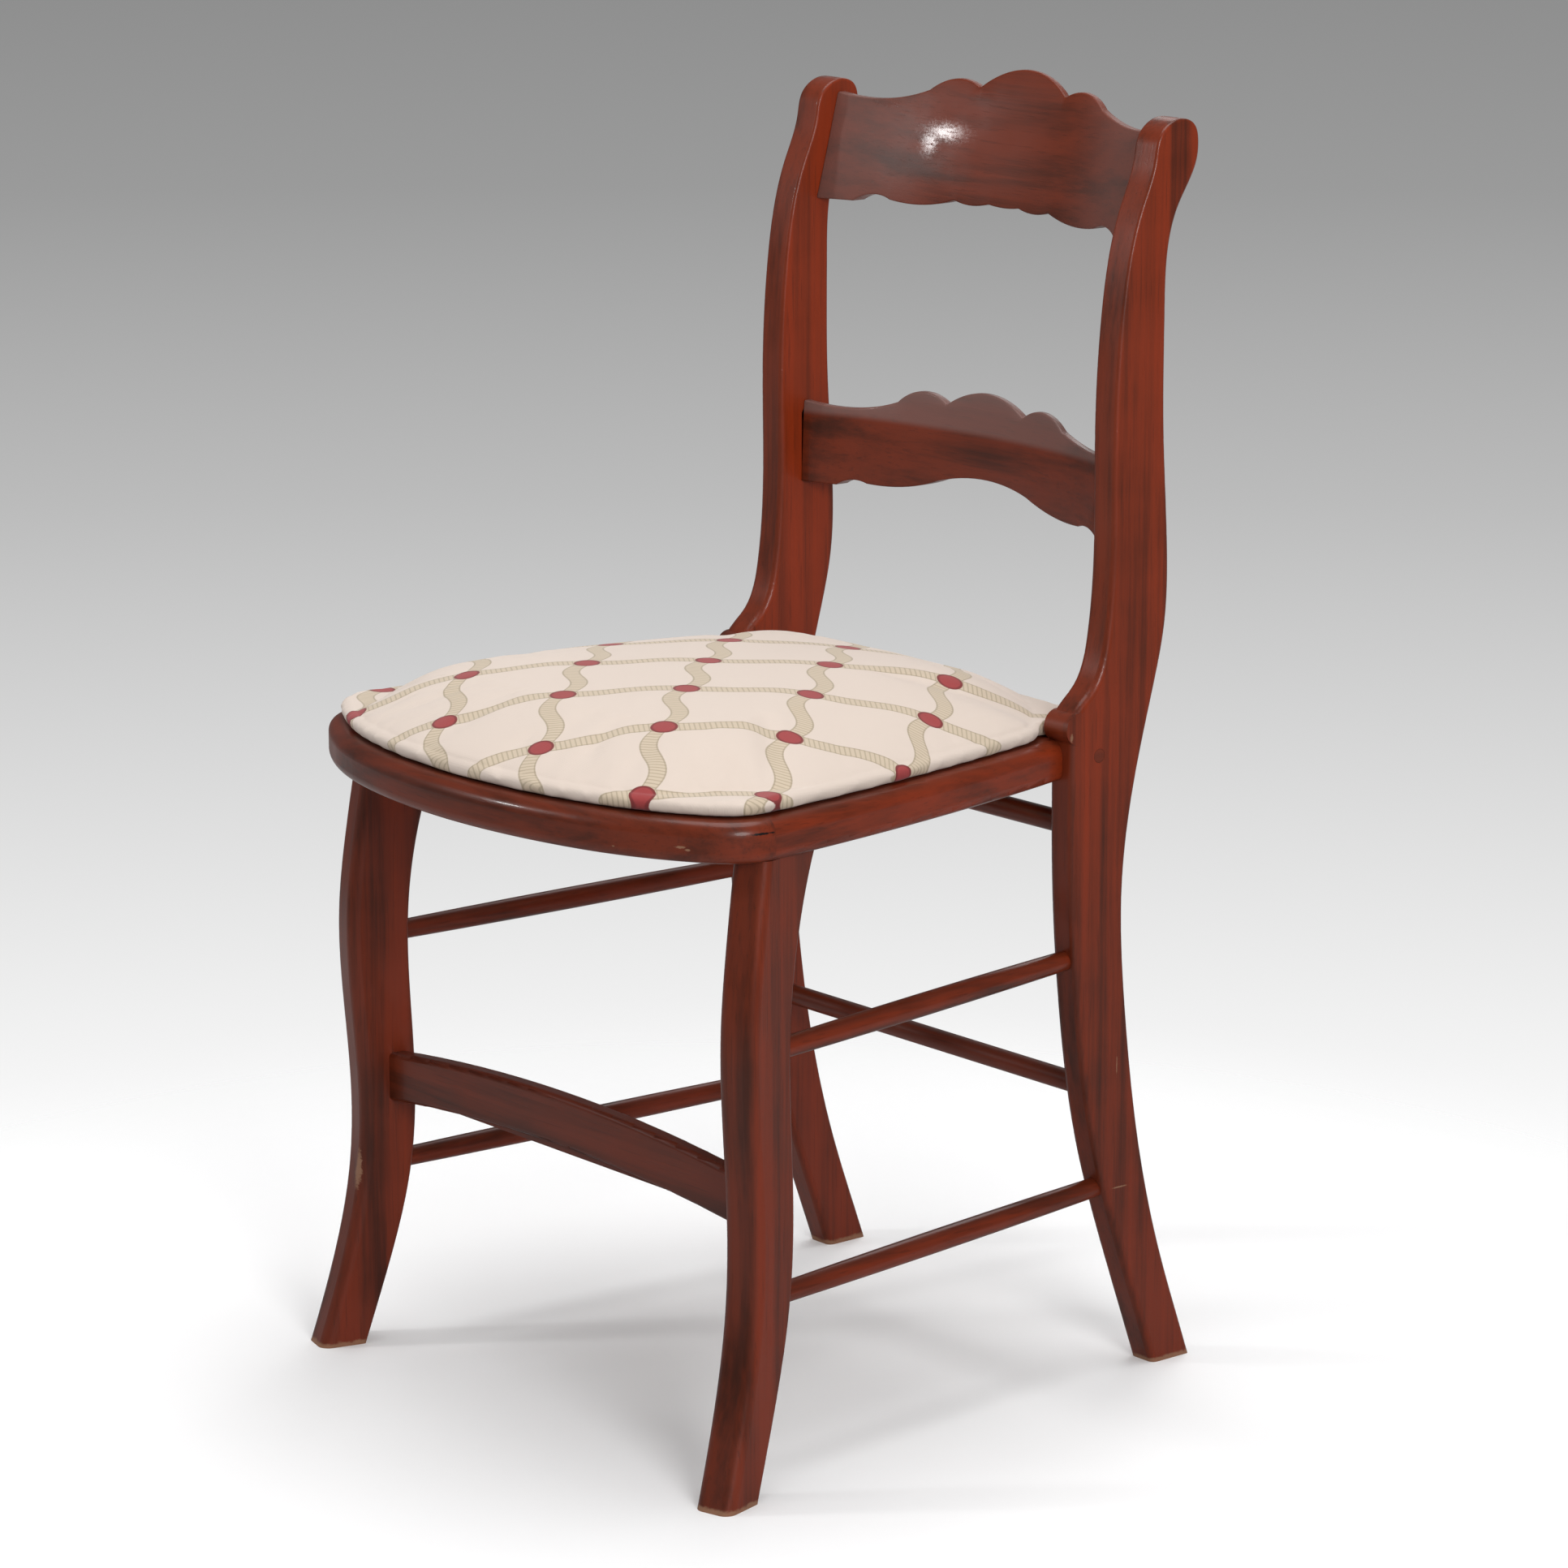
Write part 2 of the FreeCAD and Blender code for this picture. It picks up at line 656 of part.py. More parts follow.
def scallops(prefix):
    """Outline of a back rail in the upright plane, right half, from the centre of its top."""
    half = size("post_inner_half")

    def at(x, height):
        return vector(x, RAIL_UNDER[prefix] + height)

    def mark(name):
        return at(half * PLACES[prefix][name], size("%s_%s_height" % (prefix, name)))

    crown = at(0, size(prefix + "_lobe_height"))
    notch = mark("notch")
    lobe_radius = (notch.x ** 2 + (crown.y - notch.y) ** 2) / (2 * (crown.y - notch.y))
    lean = math.asin(notch.x / lobe_radius) / 2
    lobe = vector(lobe_radius * math.sin(lean), crown.y - lobe_radius * (1 - math.cos(lean)))
    end_top = at(half, size(prefix + "_end_height"))
    end_under = at(half, 0)
    flat = at(half * PLACES[prefix]["flat"], 0)
    belly_start = mark("belly_start")
    under_notch = mark("under_notch")
    pieces = [[crown, lobe, notch],
              [notch, mark("shoulder"), mark("turn")],
              [mark("turn"), mark("valley"), end_top],
              [end_top, end_under],
              [end_under, flat],
              [flat, mark("cove"), belly_start],
              [belly_start, mark("belly"), under_notch]]
    last = under_notch
    if "petal" in PLACES[prefix]:
        last = mark("inner_notch")
        pieces.append([under_notch, mark("petal"), last])
    centre = at(0, size(prefix + "_centre_height"))
    rise = centre.y - last.y
    radius = (last.x ** 2 + rise ** 2) / (2 * abs(rise))
    lean = math.asin(last.x / radius) / 2
    middle = vector(radius * math.sin(lean), centre.y - math.copysign(radius * (1 - math.cos(lean)), rise))
    pieces.append([last, middle, centre])
    return pieces


def bow_radius(prefix):
    half, bow = size("post_inner_half"), size(prefix + "_bow")
    return (half ** 2 + bow ** 2) / (2 * bow)


def rail_face(prefix, height):
    """Radius of a rail's front face about the upright axis of its bow."""
    rise = height - RAIL_UNDER[prefix]
    face = bow_radius(prefix) + rise * math.tan(math.radians(size(prefix + "_lean_angle")))
    if prefix == "middle":
        span = size("middle_lobe_height") - size("middle_bevel_height")
        face += max(0, rise - size("middle_bevel_height")) / span * size("middle_bevel_depth")
    return face


def rail_rear(prefix, height):
    """Radius of the rear face, which runs straight from the underside to the thinner top."""
    under = RAIL_UNDER[prefix]
    span = size(prefix + "_lobe_height")
    low = rail_face(prefix, under) + size(prefix + "_thickness")
    high = rail_face(prefix, under + span) + size(prefix + "_top_thickness")
    return low + (high - low) * (height - under) / span


def bowed_slab(prefix, name, low, high, cheek, breaks):
    """Slab turned about the bow's axis between two heights, thinned by a cheek on both faces."""
    heights = [low] + [height for height in breaks if low < height < high] + [high]
    front = [vector(rail_face(prefix, height) + cheek, height) for height in heights]
    rear = [vector(rail_rear(prefix, height) - cheek, height) for height in (high, low)]
    corners = front + rear
    sides = [line(corners[k - 1], corners[k]) for k in range(len(corners))]
    body = new_body(name)
    sketch = sketch_in(body, "YZ_Plane", sides, name + "_section")
    turned = body.newObject("PartDesign::Revolution", name + "_turned")
    turned.Profile = sketch
    turned.ReferenceAxis = (sketch, ["V_Axis"])
    reach = size("post_inner_half") + size("rail_tenon_length") + size("post_thickness")
    turned.Angle = 2 * math.degrees(math.asin(reach / bow_radius(prefix)))
    turned.Midplane = True
    axis_y = size("post_front_y") + size(prefix + "_set_back") + size(prefix + "_bow") - bow_radius(prefix)
    body.Placement.Base = vector(0, axis_y, 0)
    doc.recompute()
    return body


def back_rail(prefix):
    half = size("post_inner_half")
    bottom = RAIL_UNDER[prefix]
    breaks = [bottom + size("middle_bevel_height")] if prefix == "middle" else []
    slab = bowed_slab(prefix, prefix + "_slab", bottom - PAST, bottom + size(prefix + "_lobe_height") + PAST, 0,
                      breaks)
    outline_body = new_body(prefix + "_outline")
    sketch = sketch_in(outline_body, "XZ_Plane", closed_plan(scallops(prefix)), prefix + "_scallops")
    pad(outline_body, sketch, "Sizes.post_height", midplane=True)
    board = common(prefix + "_board", [slab, outline_body])
    low = bottom + size("rail_tenon_shoulder")
    high = bottom + size(prefix + "_end_height") - size("rail_tenon_shoulder")
    tenon_slab = bowed_slab(prefix, prefix + "_tenon_slab", low, high, size("rail_tenon_cheek"), breaks)
    socket_slab = bowed_slab(prefix, prefix + "_socket_slab", low - CLEAR, high + CLEAR,
                             size("rail_tenon_cheek") - CLEAR, breaks)
    parts = [board]
    for side, sign in SIDES:
        start = half - PAST if sign > 0 else -half - size("rail_tenon_length")
        tenon_box = box(prefix + "_tenon_box_" + side, vector(start, 0, bottom),
                        size("rail_tenon_length") + PAST, "Sizes.post_height", "Sizes.%s_lobe_height" % prefix)
        parts.append(common(prefix + "_tenon_" + side, [tenon_slab, tenon_box]))
        start = half - PAST if sign > 0 else -half - size("rail_tenon_length") - END_GAP
        socket_box = box(prefix + "_socket_box_" + side, vector(start, 0, bottom),
                         size("rail_tenon_length") + END_GAP + PAST, "Sizes.post_height",
                         "Sizes.%s_lobe_height" % prefix)
        cut_into("rear_post_" + side, common(prefix + "_socket_" + side, [socket_slab, socket_box]))
    return fuse(prefix + "_rail_solid", parts)


# Stretchers

def round_member(name, ends, hosts, blanks, end_diameter, middle_diameter):
    """Swelled rod between two hosts, shouldered against them, with a round tenon in each."""
    start, end = ends
    way = (end - start).normalize()
    length = (end - start).Length
    overrun = size("post_thickness") / 2
    tenon = size("stretcher_tenon_length")
    half = length / 2 + overrun
    profile = [line(vector(0, -half), vector(end_diameter / 2, -half)),
               arc(vector(end_diameter / 2, -half), vector(middle_diameter / 2, 0), vector(end_diameter / 2, half))
               if middle_diameter > end_diameter
               else line(vector(end_diameter / 2, -half), vector(end_diameter / 2, half)),
               line(vector(end_diameter / 2, half), vector(0, half)),
               line(vector(0, half), vector(0, -half))]
    body = new_body(name + "_barrel")
    sketch = sketch_in(body, "XZ_Plane", profile, name + "_profile")
    turned = body.newObject("PartDesign::Revolution", name + "_turned")
    turned.Profile = sketch
    turned.ReferenceAxis = (sketch, ["V_Axis"])
    turned.Angle = 360
    body.Placement = FreeCAD.Placement((start + end) * 0.5, FreeCAD.Rotation(vector(0, 0, 1), way))
    doc.recompute()
    barrel = cut(name + "_shouldered", body, blanks)
    rod = cylinder(name + "_rod", start - way * tenon, way, "Sizes.stretcher_tenon_diameter / 2",
                   length + 2 * tenon)
    bore_radius = "Sizes.stretcher_tenon_diameter / 2 + Sizes.tenon_clearance"
    bore_length = tenon + END_GAP + overrun
    for host, point, outward in ((hosts[0], start, way * -1), (hosts[1], end, way)):
        bore = cylinder(name + "_bore_in_" + host, point - outward * overrun, outward, bore_radius, bore_length)
        cut_into(host, bore)
    keep(name, fuse(name + "_solid", [barrel, rod]))


def side_stretchers(blanks):
    under = size("seat_under_height")
    levels = (("upper", under - size("side_upper_front_drop"), under - size("side_upper_rear_drop")),
              ("lower", size("side_lower_front_height"), size("side_lower_rear_height")))
    for level, low, high in levels:
        for side, sign in SIDES:
            front = leg_point(sign, reach_at(LEG_REAR, low), low)
            rear = vector(sign * POST_MIDDLE, size("post_front_y") + reach_at(POST_FRONT_LOW, high), high)
            hosts = ("front_leg_" + side, "rear_post_" + side)
            round_member("side_stretcher_%s_%s" % (level, side), (front, rear), hosts,
                         [blanks[host] for host in hosts],
                         size("side_end_diameter"), size("side_middle_diameter"))


def rear_members(blanks):
    """Stretcher and rung between the posts, each in the middle of the posts' depth."""
    rear_curve = post_curves()[2]
    heights = {"rear_stretcher": size("rear_stretcher_height"),
               "rear_rung": size("seat_under_height") - size("rear_rung_drop")}
    for name, height in heights.items():
        low, high = reach_at(POST_FRONT_LOW, height), reach_at(rear_curve, height)
        y = size("post_front_y") + (low + high) / 2
        ends = (vector(-size("post_inner_half"), y, height), vector(size("post_inner_half"), y, height))
        diameter = size(name + "_diameter")
        hosts = ("rear_post_left", "rear_post_right")
        round_member(name, ends, hosts, [blanks[host] for host in hosts], diameter, diameter)


def front_stretcher(blanks):
    """Board that rises to its middle, shouldered against the legs, with a flat tenon in each."""
    thickness = size("front_stretcher_thickness")
    front_y = LEG_Y + size("front_stretcher_set_back")
    middle_y = front_y + thickness / 2
    inner = LEG_X - (middle_y - LEG_Y) * math.tan(TURN) - size("leg_thickness") / 2 / math.cos(TURN)
    end_under = size("front_stretcher_end_under")
    end_over = end_under + size("front_stretcher_end_height")
    centre_under = size("front_stretcher_centre_under")
    centre_over = centre_under + size("front_stretcher_centre_height")

    def past(centre, end, x):
        """Height of the edge's parabola at x."""
        return centre - (centre - end) * (x / inner) ** 2

    far = inner + size("leg_thickness") / 2
    over = [vector(far, past(centre_over, end_over, far)), vector(0, centre_over)]
    under = [vector(far, past(centre_under, end_under, far)), vector(0, centre_under)]
    profile = [arc(vector(-far, over[0].y), over[1], over[0]), line(over[0], under[0]),
               arc(under[0], under[1], vector(-far, under[0].y)), line(vector(-far, under[0].y), vector(-far, over[0].y))]
    body = new_body("front_stretcher_board")
    sketch = sketch_in(body, "XZ_Plane", profile, "front_stretcher_outline")
    board = pad(body, sketch, "Sizes.front_stretcher_thickness", midplane=True)

    def long_edge(edge):
        return edge.Curve.TypeId == "Part::GeomCircle"

    round_edges(body, board, "Sizes.front_stretcher_round", long_edge)
    body.Placement.Base = vector(0, middle_y, 0)
    hosts = ["front_leg_left", "front_leg_right"]
    shouldered = cut("front_stretcher_shouldered", body, [blanks[host] for host in hosts])
    middle_z = (end_under + end_over) / 2
    reach = inner + size("front_tenon_length")
    low = vector(-reach, middle_y - size("front_tenon_thickness") / 2, middle_z - size("front_tenon_height") / 2)
    tenon = box("front_stretcher_tenon", low, 2 * reach, "Sizes.front_tenon_thickness", "Sizes.front_tenon_height")
    for side, sign in SIDES:
        start = inner - size("leg_thickness") / 2 if sign > 0 else -reach - END_GAP
        low = vector(start, middle_y - size("front_tenon_thickness") / 2 - CLEAR,
                     middle_z - size("front_tenon_height") / 2 - CLEAR)
        socket = box("front_tenon_socket_" + side, low, reach + END_GAP - inner + size("leg_thickness") / 2,
                     "Sizes.front_tenon_thickness + Sizes.tenon_clearance * 2",
                     "Sizes.front_tenon_height + Sizes.tenon_clearance * 2")
        cut_into("front_leg_" + side, socket)
    keep("front_stretcher", fuse("front_stretcher_solid", [shouldered, tenon]))


# Upholstered seat: a board, its padding, and a cover drawn over both and turned under

# Plan's share and height's share of each ring of the crown, from the foot up
CUSHION_RINGS = ((0.975, 0.0), (0.995, 0.07), (1.0, 0.17), (0.985, 0.3), (0.925, 0.46), (0.81, 0.64),
                 (0.63, 0.81), (0.38, 0.94), (0.13, 1.0))
CUSHION_FOOT = FRAME_TOP + size("padding_gap")

# How far the cushion's sides swell out ahead of the posts, as a share of that run
NECK_BULGE = 0.07


def cushion_plan():
    """Plan of the cushion at its widest, right half, from the middle of the front."""
    nose_y = size("post_front_y") - size("nose_reach")
    turn_y = nose_y - size("cushion_turn_length")
    right = OUTLINE.right_arcs(size("cushion_inset"), turn_y)
    start = right[-1][-1]
    neck = vector(size("post_inner_half") - size("cushion_post_gap"), nose_y)
    chord = neck - start
    bulge = start + chord * 0.5 + vector(chord.y, -chord.x).normalize() * chord.Length * NECK_BULGE
    rear_y = size("post_front_y") + size("cushion_rear_set_back")
    corner = size("cushion_rear_corner")
    corner_start = vector(neck.x, rear_y - size("cushion_rear_bow") - corner)
    corner_end = vector(neck.x - corner, rear_y - size("cushion_rear_bow"))
    corner_middle = vector(neck.x - corner * (1 - math.sqrt(0.5)), corner_end.y - corner * (1 - math.sqrt(0.5)))
    rear = vector(0, rear_y)
    rear_middle = vector(corner_end.x / 2, rear_y - size("cushion_rear_bow") / 4)
    return right + [[start, bulge, neck], [neck, corner_start], [corner_start, corner_middle, corner_end],
                    [corner_end, rear_middle, rear]]


CUSHION_MIDDLE = vector(0, (size("seat_front_y") + size("post_front_y") + size("cushion_rear_set_back")) / 2)
CUSHION_REACH = size("seat_half_width") - size("cushion_inset")


def plan_ring(inset, share, height):
    """Cushion's plan drawn in by an inset and scaled about its middle, at a height."""
    ring = lifted(closed_plan(cushion_plan()), height)
    scale = share * (1 - inset / CUSHION_REACH)
    ring.scale(scale, vector(CUSHION_MIDDLE.x, CUSHION_MIDDLE.y, height))
    return ring


def crowned(inset):
    """Crowned solid, an inset inside the cushion's outer face."""
    low = CUSHION_FOOT + inset
    rise = size("cushion_crown_height") - 2 * inset
    return Part.makeLoft([plan_ring(inset, share, low + rise * part) for share, part in CUSHION_RINGS], True, False)


def flat_layer(inset, low, thickness):
    face = Part.Face(plan_ring(inset, 1.0, low))
    return face.extrude(vector(0, 0, thickness))


def feature(name, shape):
    item = doc.addObject("Part::Feature", name)
    item.Shape = shape
    return item


def upholstery():
    cover = size("cover_thickness")
    gap = size("padding_gap")
    board_low = CUSHION_FOOT + cover
    board_edge = cover + size("board_inset")
    board = feature("board_blank", flat_layer(board_edge, board_low, size("board_thickness")))
    hollow = crowned(cover)
    mouth = flat_layer(size("cover_turn_under"), CUSHION_FOOT - PAST, cover + 2 * PAST)
    shell = crowned(0).cut(hollow.fuse(mouth))
    keep("seat_cover", feature("cover_shell", shell))
    under_board = flat_layer(board_edge - gap, board_low - PAST, size("board_thickness") + PAST)
    keep("seat_pad", feature("padding", crowned(cover + gap).cut(under_board)))
    return board


# Dowels, screws and plugs

def crossing_dowel(name, centre, hosts):
    """Dowel along Y, half in the piece in front of a joint and half in the one behind."""
    length = size("dowel_length")
    dowel = cylinder(name, centre - vector(0, length / 2), vector(0, 1), "Sizes.dowel_diameter / 2", "Sizes.dowel_length")
    for host in hosts:
        bore = cylinder(name + "_bore_" + host, centre - vector(0, length / 2 + END_GAP), vector(0, 1),
                        "Sizes.dowel_diameter / 2 + Sizes.tenon_clearance",
                        "Sizes.dowel_length + Sizes.socket_end_gap * 2")
        cut_into(host, bore)
    return dowel


def dowels():
    high = FRAME_TOP - size("dowel_below_top")
    middle = size("seat_under_height") + size("frame_thickness") / 2
    joint_y = OUTLINE.corner_centre.y
    outer = size("seat_half_width") - size("dowel_edge_inset")
    inner = size("seat_half_width") - size("side_rail_width") + size("dowel_edge_inset")
    corner, post = [], []
    for side, sign in SIDES:
        rails = ("seat_front_rail", "seat_side_rail_" + side)
        for place, x in (("outer", outer), ("inner", inner)):
            corner.append(crossing_dowel("corner_dowel_%s_%s" % (place, side), vector(sign * x, joint_y, high), rails))
        rear_x = (OUTLINE.end.x - size("side_rail_width") + size("post_inner_half")) / 2
        rails = ("seat_side_rail_" + side, "seat_rear_rail")
        corner.append(crossing_dowel("rear_dowel_" + side, vector(sign * rear_x, size("post_front_y"), high), rails))
        post_x = size("post_inner_half") + size("side_end_reach") / 2
        hosts = ("seat_side_rail_" + side, "rear_post_" + side)
        post.append(crossing_dowel("post_dowel_" + side, vector(sign * post_x, size("post_front_y"), middle), hosts))
    keep("frame_dowels", fuse("frame_dowel_set", corner))
    keep("post_dowels", fuse("post_dowel_set", post))


def post_screws():
    """Screw through each post into the rear rail, under a wooden plug."""
    y = size("post_front_y") + size("post_screw_set_back")
    z = FRAME_TOP - size("post_screw_below_top")
    screws, plugs = [], []
    for side, sign in SIDES:
        inward = vector(-sign, 0, 0)
        face = vector(sign * POST_OUTER, y, z)
        seat = face + inward * size("post_plug_depth")
        plugs.append(cylinder("plug_" + side, face, inward, "Sizes.post_plug_diameter / 2", "Sizes.post_plug_depth"))
        cut_into("rear_post_" + side, cylinder("plug_bore_" + side, face - inward * PAST, inward,
                                               "Sizes.post_plug_diameter / 2 + Sizes.tenon_clearance",
                                               size("post_plug_depth") + PAST))
        head = doc.addObject("Part::Cone", "post_screw_head_" + side)
        head.setExpression("Radius1", "Sizes.post_screw_head_diameter / 2")
        head.setExpression("Radius2", "Sizes.post_screw_diameter / 2")
        head.setExpression("Height", "Sizes.seat_screw_head_height")
        head.Placement = FreeCAD.Placement(seat, FreeCAD.Rotation(vector(0, 0, 1), inward))
        shank = cylinder("post_screw_shank_" + side, seat, inward, "Sizes.post_screw_diameter / 2",
                         "Sizes.post_screw_length")
        screw = fuse("post_screw_" + side, [head, shank])
        screws.append(screw)
        cut_into("rear_post_" + side, screw)
        cut_into("seat_rear_rail", screw)
    keep("post_plugs", fuse("post_plug_set", plugs))
    keep("post_screws", fuse("post_screw_set", screws))


def seat_screws():
    """Screws from under the frame up into the seat's board."""
    length = size("frame_thickness") + size("padding_gap") + size("cover_thickness") + size("seat_screw_bite")
    inset = size("seat_screw_inset")
    front = OUTLINE.front_point(inset, size("seat_screw_reach"))
    beside = OUTLINE.side_point(inset, CUSHION_MIDDLE.y)
    places = []
    for side, sign in SIDES:
        places.append(("front_" + side, sign * front.x, front.y, "seat_front_rail"))
        places.append(("side_" + side, sign * beside.x, beside.y, "seat_side_rail_" + side))
    screws = []
    for place, x, y, host in places:
        foot = vector(x, y, size("seat_under_height"))
        head = doc.addObject("Part::Cone", "seat_screw_head_" + place)
        head.setExpression("Radius1", "Sizes.seat_screw_head_diameter / 2")
        head.setExpression("Radius2", "Sizes.seat_screw_diameter / 2")
        head.setExpression("Height", "Sizes.seat_screw_head_height")
        head.Placement.Base = foot
        shank = cylinder("seat_screw_shank_" + place, foot, vector(0, 0, 1), "Sizes.seat_screw_diameter / 2", length)
        screw = fuse("seat_screw_" + place, [head, shank])
        screws.append(screw)
        cut_into(host, screw)
        cut_into("seat_board", screw)
    keep("seat_screws", fuse("seat_screw_set", screws))


def leg_tenons():
    """Round tenon on top of each leg, standing in a bore of the side rail."""
    tenons = {}
    for side, sign in SIDES:
        centre = leg_point(sign, size("leg_top_depth") / 2, size("seat_under_height"))
        low = centre - vector(0, 0, size("leg_tenon_length"))
        tenons[side] = cylinder("leg_tenon_" + side, low, vector(0, 0, 1), "Sizes.leg_tenon_diameter / 2",
                                "Sizes.leg_tenon_length * 2")
        bore = cylinder("leg_bore_" + side, low, vector(0, 0, 1),
                        "Sizes.leg_tenon_diameter / 2 + Sizes.tenon_clearance",
                        "Sizes.leg_tenon_length * 2 + Sizes.socket_end_gap")
        cut_into("seat_side_rail_" + side, bore)
    return tenons


# Assembly

blanks = {}
for side, sign in SIDES:
    blanks["rear_post_" + side] = post_blank(side, sign)
    blanks["front_leg_" + side] = leg_blank(side, sign)
doc.recompute()
side_stretchers(blanks)
rear_members(blanks)
front_stretcher(blanks)
keep("crest_rail", back_rail("crest"))
keep("mid_rail", back_rail("middle"))
for name, item in frame_pieces().items():
    blanks[name] = item
blanks["seat_board"] = upholstery()
dowels()
post_screws()
seat_screws()
for side, tenon in leg_tenons().items():
    blanks["front_leg_" + side] = fuse("leg_with_tenon_" + side, [blanks["front_leg_" + side], tenon])
for host, tools in cutters.items():
    keep(host, cut(host + "_solid", blanks[host], tools))
doc.recompute()

faults = [item.Label for item in doc.Objects if "Invalid" in item.State or "Error" in item.State]
for name, item in nodes.items():
    if item.Shape.isNull() or not item.Shape.isValid():
        faults.append(name)
if faults:
    raise RuntimeError("failed: " + ", ".join(faults))

for name in sorted(nodes):
    shape = nodes[name].Shape
    shape.exportStep("parts/%s.step" % name)
    print("%-28s solids %d  volume %9.0f" % (name, len(shape.Solids), shape.Volume))
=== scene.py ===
"""Side chair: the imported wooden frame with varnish, rounded back rails and an upholstered, patterned seat."""

import math

import bpy
import numpy as np
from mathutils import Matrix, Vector


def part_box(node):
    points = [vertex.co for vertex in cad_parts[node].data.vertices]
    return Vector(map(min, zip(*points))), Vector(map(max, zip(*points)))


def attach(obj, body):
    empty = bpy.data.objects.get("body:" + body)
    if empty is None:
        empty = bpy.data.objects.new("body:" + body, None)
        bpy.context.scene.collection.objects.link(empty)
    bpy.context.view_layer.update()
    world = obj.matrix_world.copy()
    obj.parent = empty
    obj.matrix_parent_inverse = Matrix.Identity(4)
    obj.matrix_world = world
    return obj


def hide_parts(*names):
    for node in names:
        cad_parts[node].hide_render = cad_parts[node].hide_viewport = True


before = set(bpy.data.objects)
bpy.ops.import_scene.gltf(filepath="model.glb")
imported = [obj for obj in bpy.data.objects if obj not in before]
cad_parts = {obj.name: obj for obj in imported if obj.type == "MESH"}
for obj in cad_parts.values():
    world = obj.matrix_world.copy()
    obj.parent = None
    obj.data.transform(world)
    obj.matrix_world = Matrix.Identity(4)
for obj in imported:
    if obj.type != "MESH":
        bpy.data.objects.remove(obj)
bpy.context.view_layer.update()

bl_info = {
    "name": "Side chair",
    "version": (1, 0, 0),
    "blender": (4, 5, 0),
    "location": "3D View > Sidebar > Side chair",
    "description": "Dresses a side chair's wooden frame with varnish, rounded rails and an upholstered seat",
    "category": "Object",
}

FRAME_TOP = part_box("seat_front_rail")[1].z

# Pieces that share a varnish

POSTS = ("rear_post_left", "rear_post_right")
LEGS = ("front_leg_left", "front_leg_right")
CROSS_RAILS = ("seat_front_rail", "seat_rear_rail")
SIDE_RAILS = ("seat_side_rail_left", "seat_side_rail_right")
CROSS_STRETCHERS = ("front_stretcher", "rear_stretcher", "rear_rung")
SIDE_STRETCHERS = ("side_stretcher_upper_left", "side_stretcher_upper_right",
                   "side_stretcher_lower_left", "side_stretcher_lower_right")

# Noises: how many marks a metre holds, how much detail they have, and how rough that is

FINE_GRAIN = (340.0, 4.0, 0.6)
FIGURE = (62.0, 2.0, 0.5)
BLOTCHES = (14.0, 3.0, 0.55)
PORES = (700.0, 2.0, 0.5)
SCUFFS = (140.0, 4.0, 0.7)
RAGGED_EDGES = (600.0, 3.0, 0.6)
BARE_GRAIN = (180.0, 4.0, 0.6)
STEEL_GRAIN = (400.0, 3.0, 0.6)
SLUBS = (220.0, 3.0, 0.6)

# Grain: how far it is drawn out along a piece, and the way in which it is shifted from piece to piece

GRAIN_SQUEEZE = 0.03
BARE_SQUEEZE = 0.06
GRAIN_SHIFT = (1.0, 0.7, 0.3)

# Varnish: what its tone is made of, and the tones between which its colours and its gloss change

FINE_SHARE = 0.3
FIGURE_SHARE = 0.7
BLOTCH_SHARE = 0.3
STREAK_TONES = (0.24, 0.6)
LIT_TONES = (0.24, 0.76)
PORE_TONES = (0.6, 0.68)
BLOTCH_TONES = (0.3, 0.7)

# Varnish: how dark its pores are, its sideways red (partly painted light), its painted shade towards the floor,
# its painted reflection, its polish, its worn places, its gloss and its relief

PORE_SHARE = 0.3
PORE_DEPTH = 0.6
# Sideways faces take more of the redder, lighter tone: partly the wood's own colour, partly painted light
SIDE_FACING = (0.55, 0.97)
LIT_IN_FRONT = 0.25
# Painted shade: the wood is darkened towards the floor, from this height down
SHADE_TOP = 0.7
SHADE_AT_FLOOR = 0.55
# Painted reflection: a greyish sheen painted at the crest rail's ends and above the middle rail's crease
END_REFLECTION_RUN = (0.05, 0.13)
END_REFLECTION = 0.3
TOP_REFLECTION_BELOW = 0.0005
TOP_REFLECTION_ABOVE = 0.005
TOP_REFLECTION = 0.45
GLOSS_SPREAD = 0.14
POLISH = 0.65
SPECULAR = 0.25
COAT_ROUGHNESS = 0.1
WORN_TOE = 0.0012
WORN_SHARE = 0.7
WORN_ROUGHNESS = 0.3
SCUFF_RISE = 0.006
CRACK = (0.004, 0.002, 0.002)
VARNISH_RELIEF = (0.1, 0.0006)

# Bare wood and steel: their colours, their gloss and the wood's relief

PLY = (0.55, 0.4, 0.24)
BEECH = (0.62, 0.46, 0.28)
BARE_DARKER = 0.72
BARE_TONES = (0.35, 0.65)
BARE_ROUGHNESS = 0.7
BARE_RELIEF = (0.2, 0.0005)
STEEL_DARK = (0.42, 0.42, 0.42)
STEEL_LIGHT = (0.62, 0.61, 0.6)
STEEL_TONES = (0.3, 0.7)
STEEL_ROUGHNESS = (0.3, 0.5)

# Small marks of wear on the varnish: how ragged they are, and the middle and the half size of each

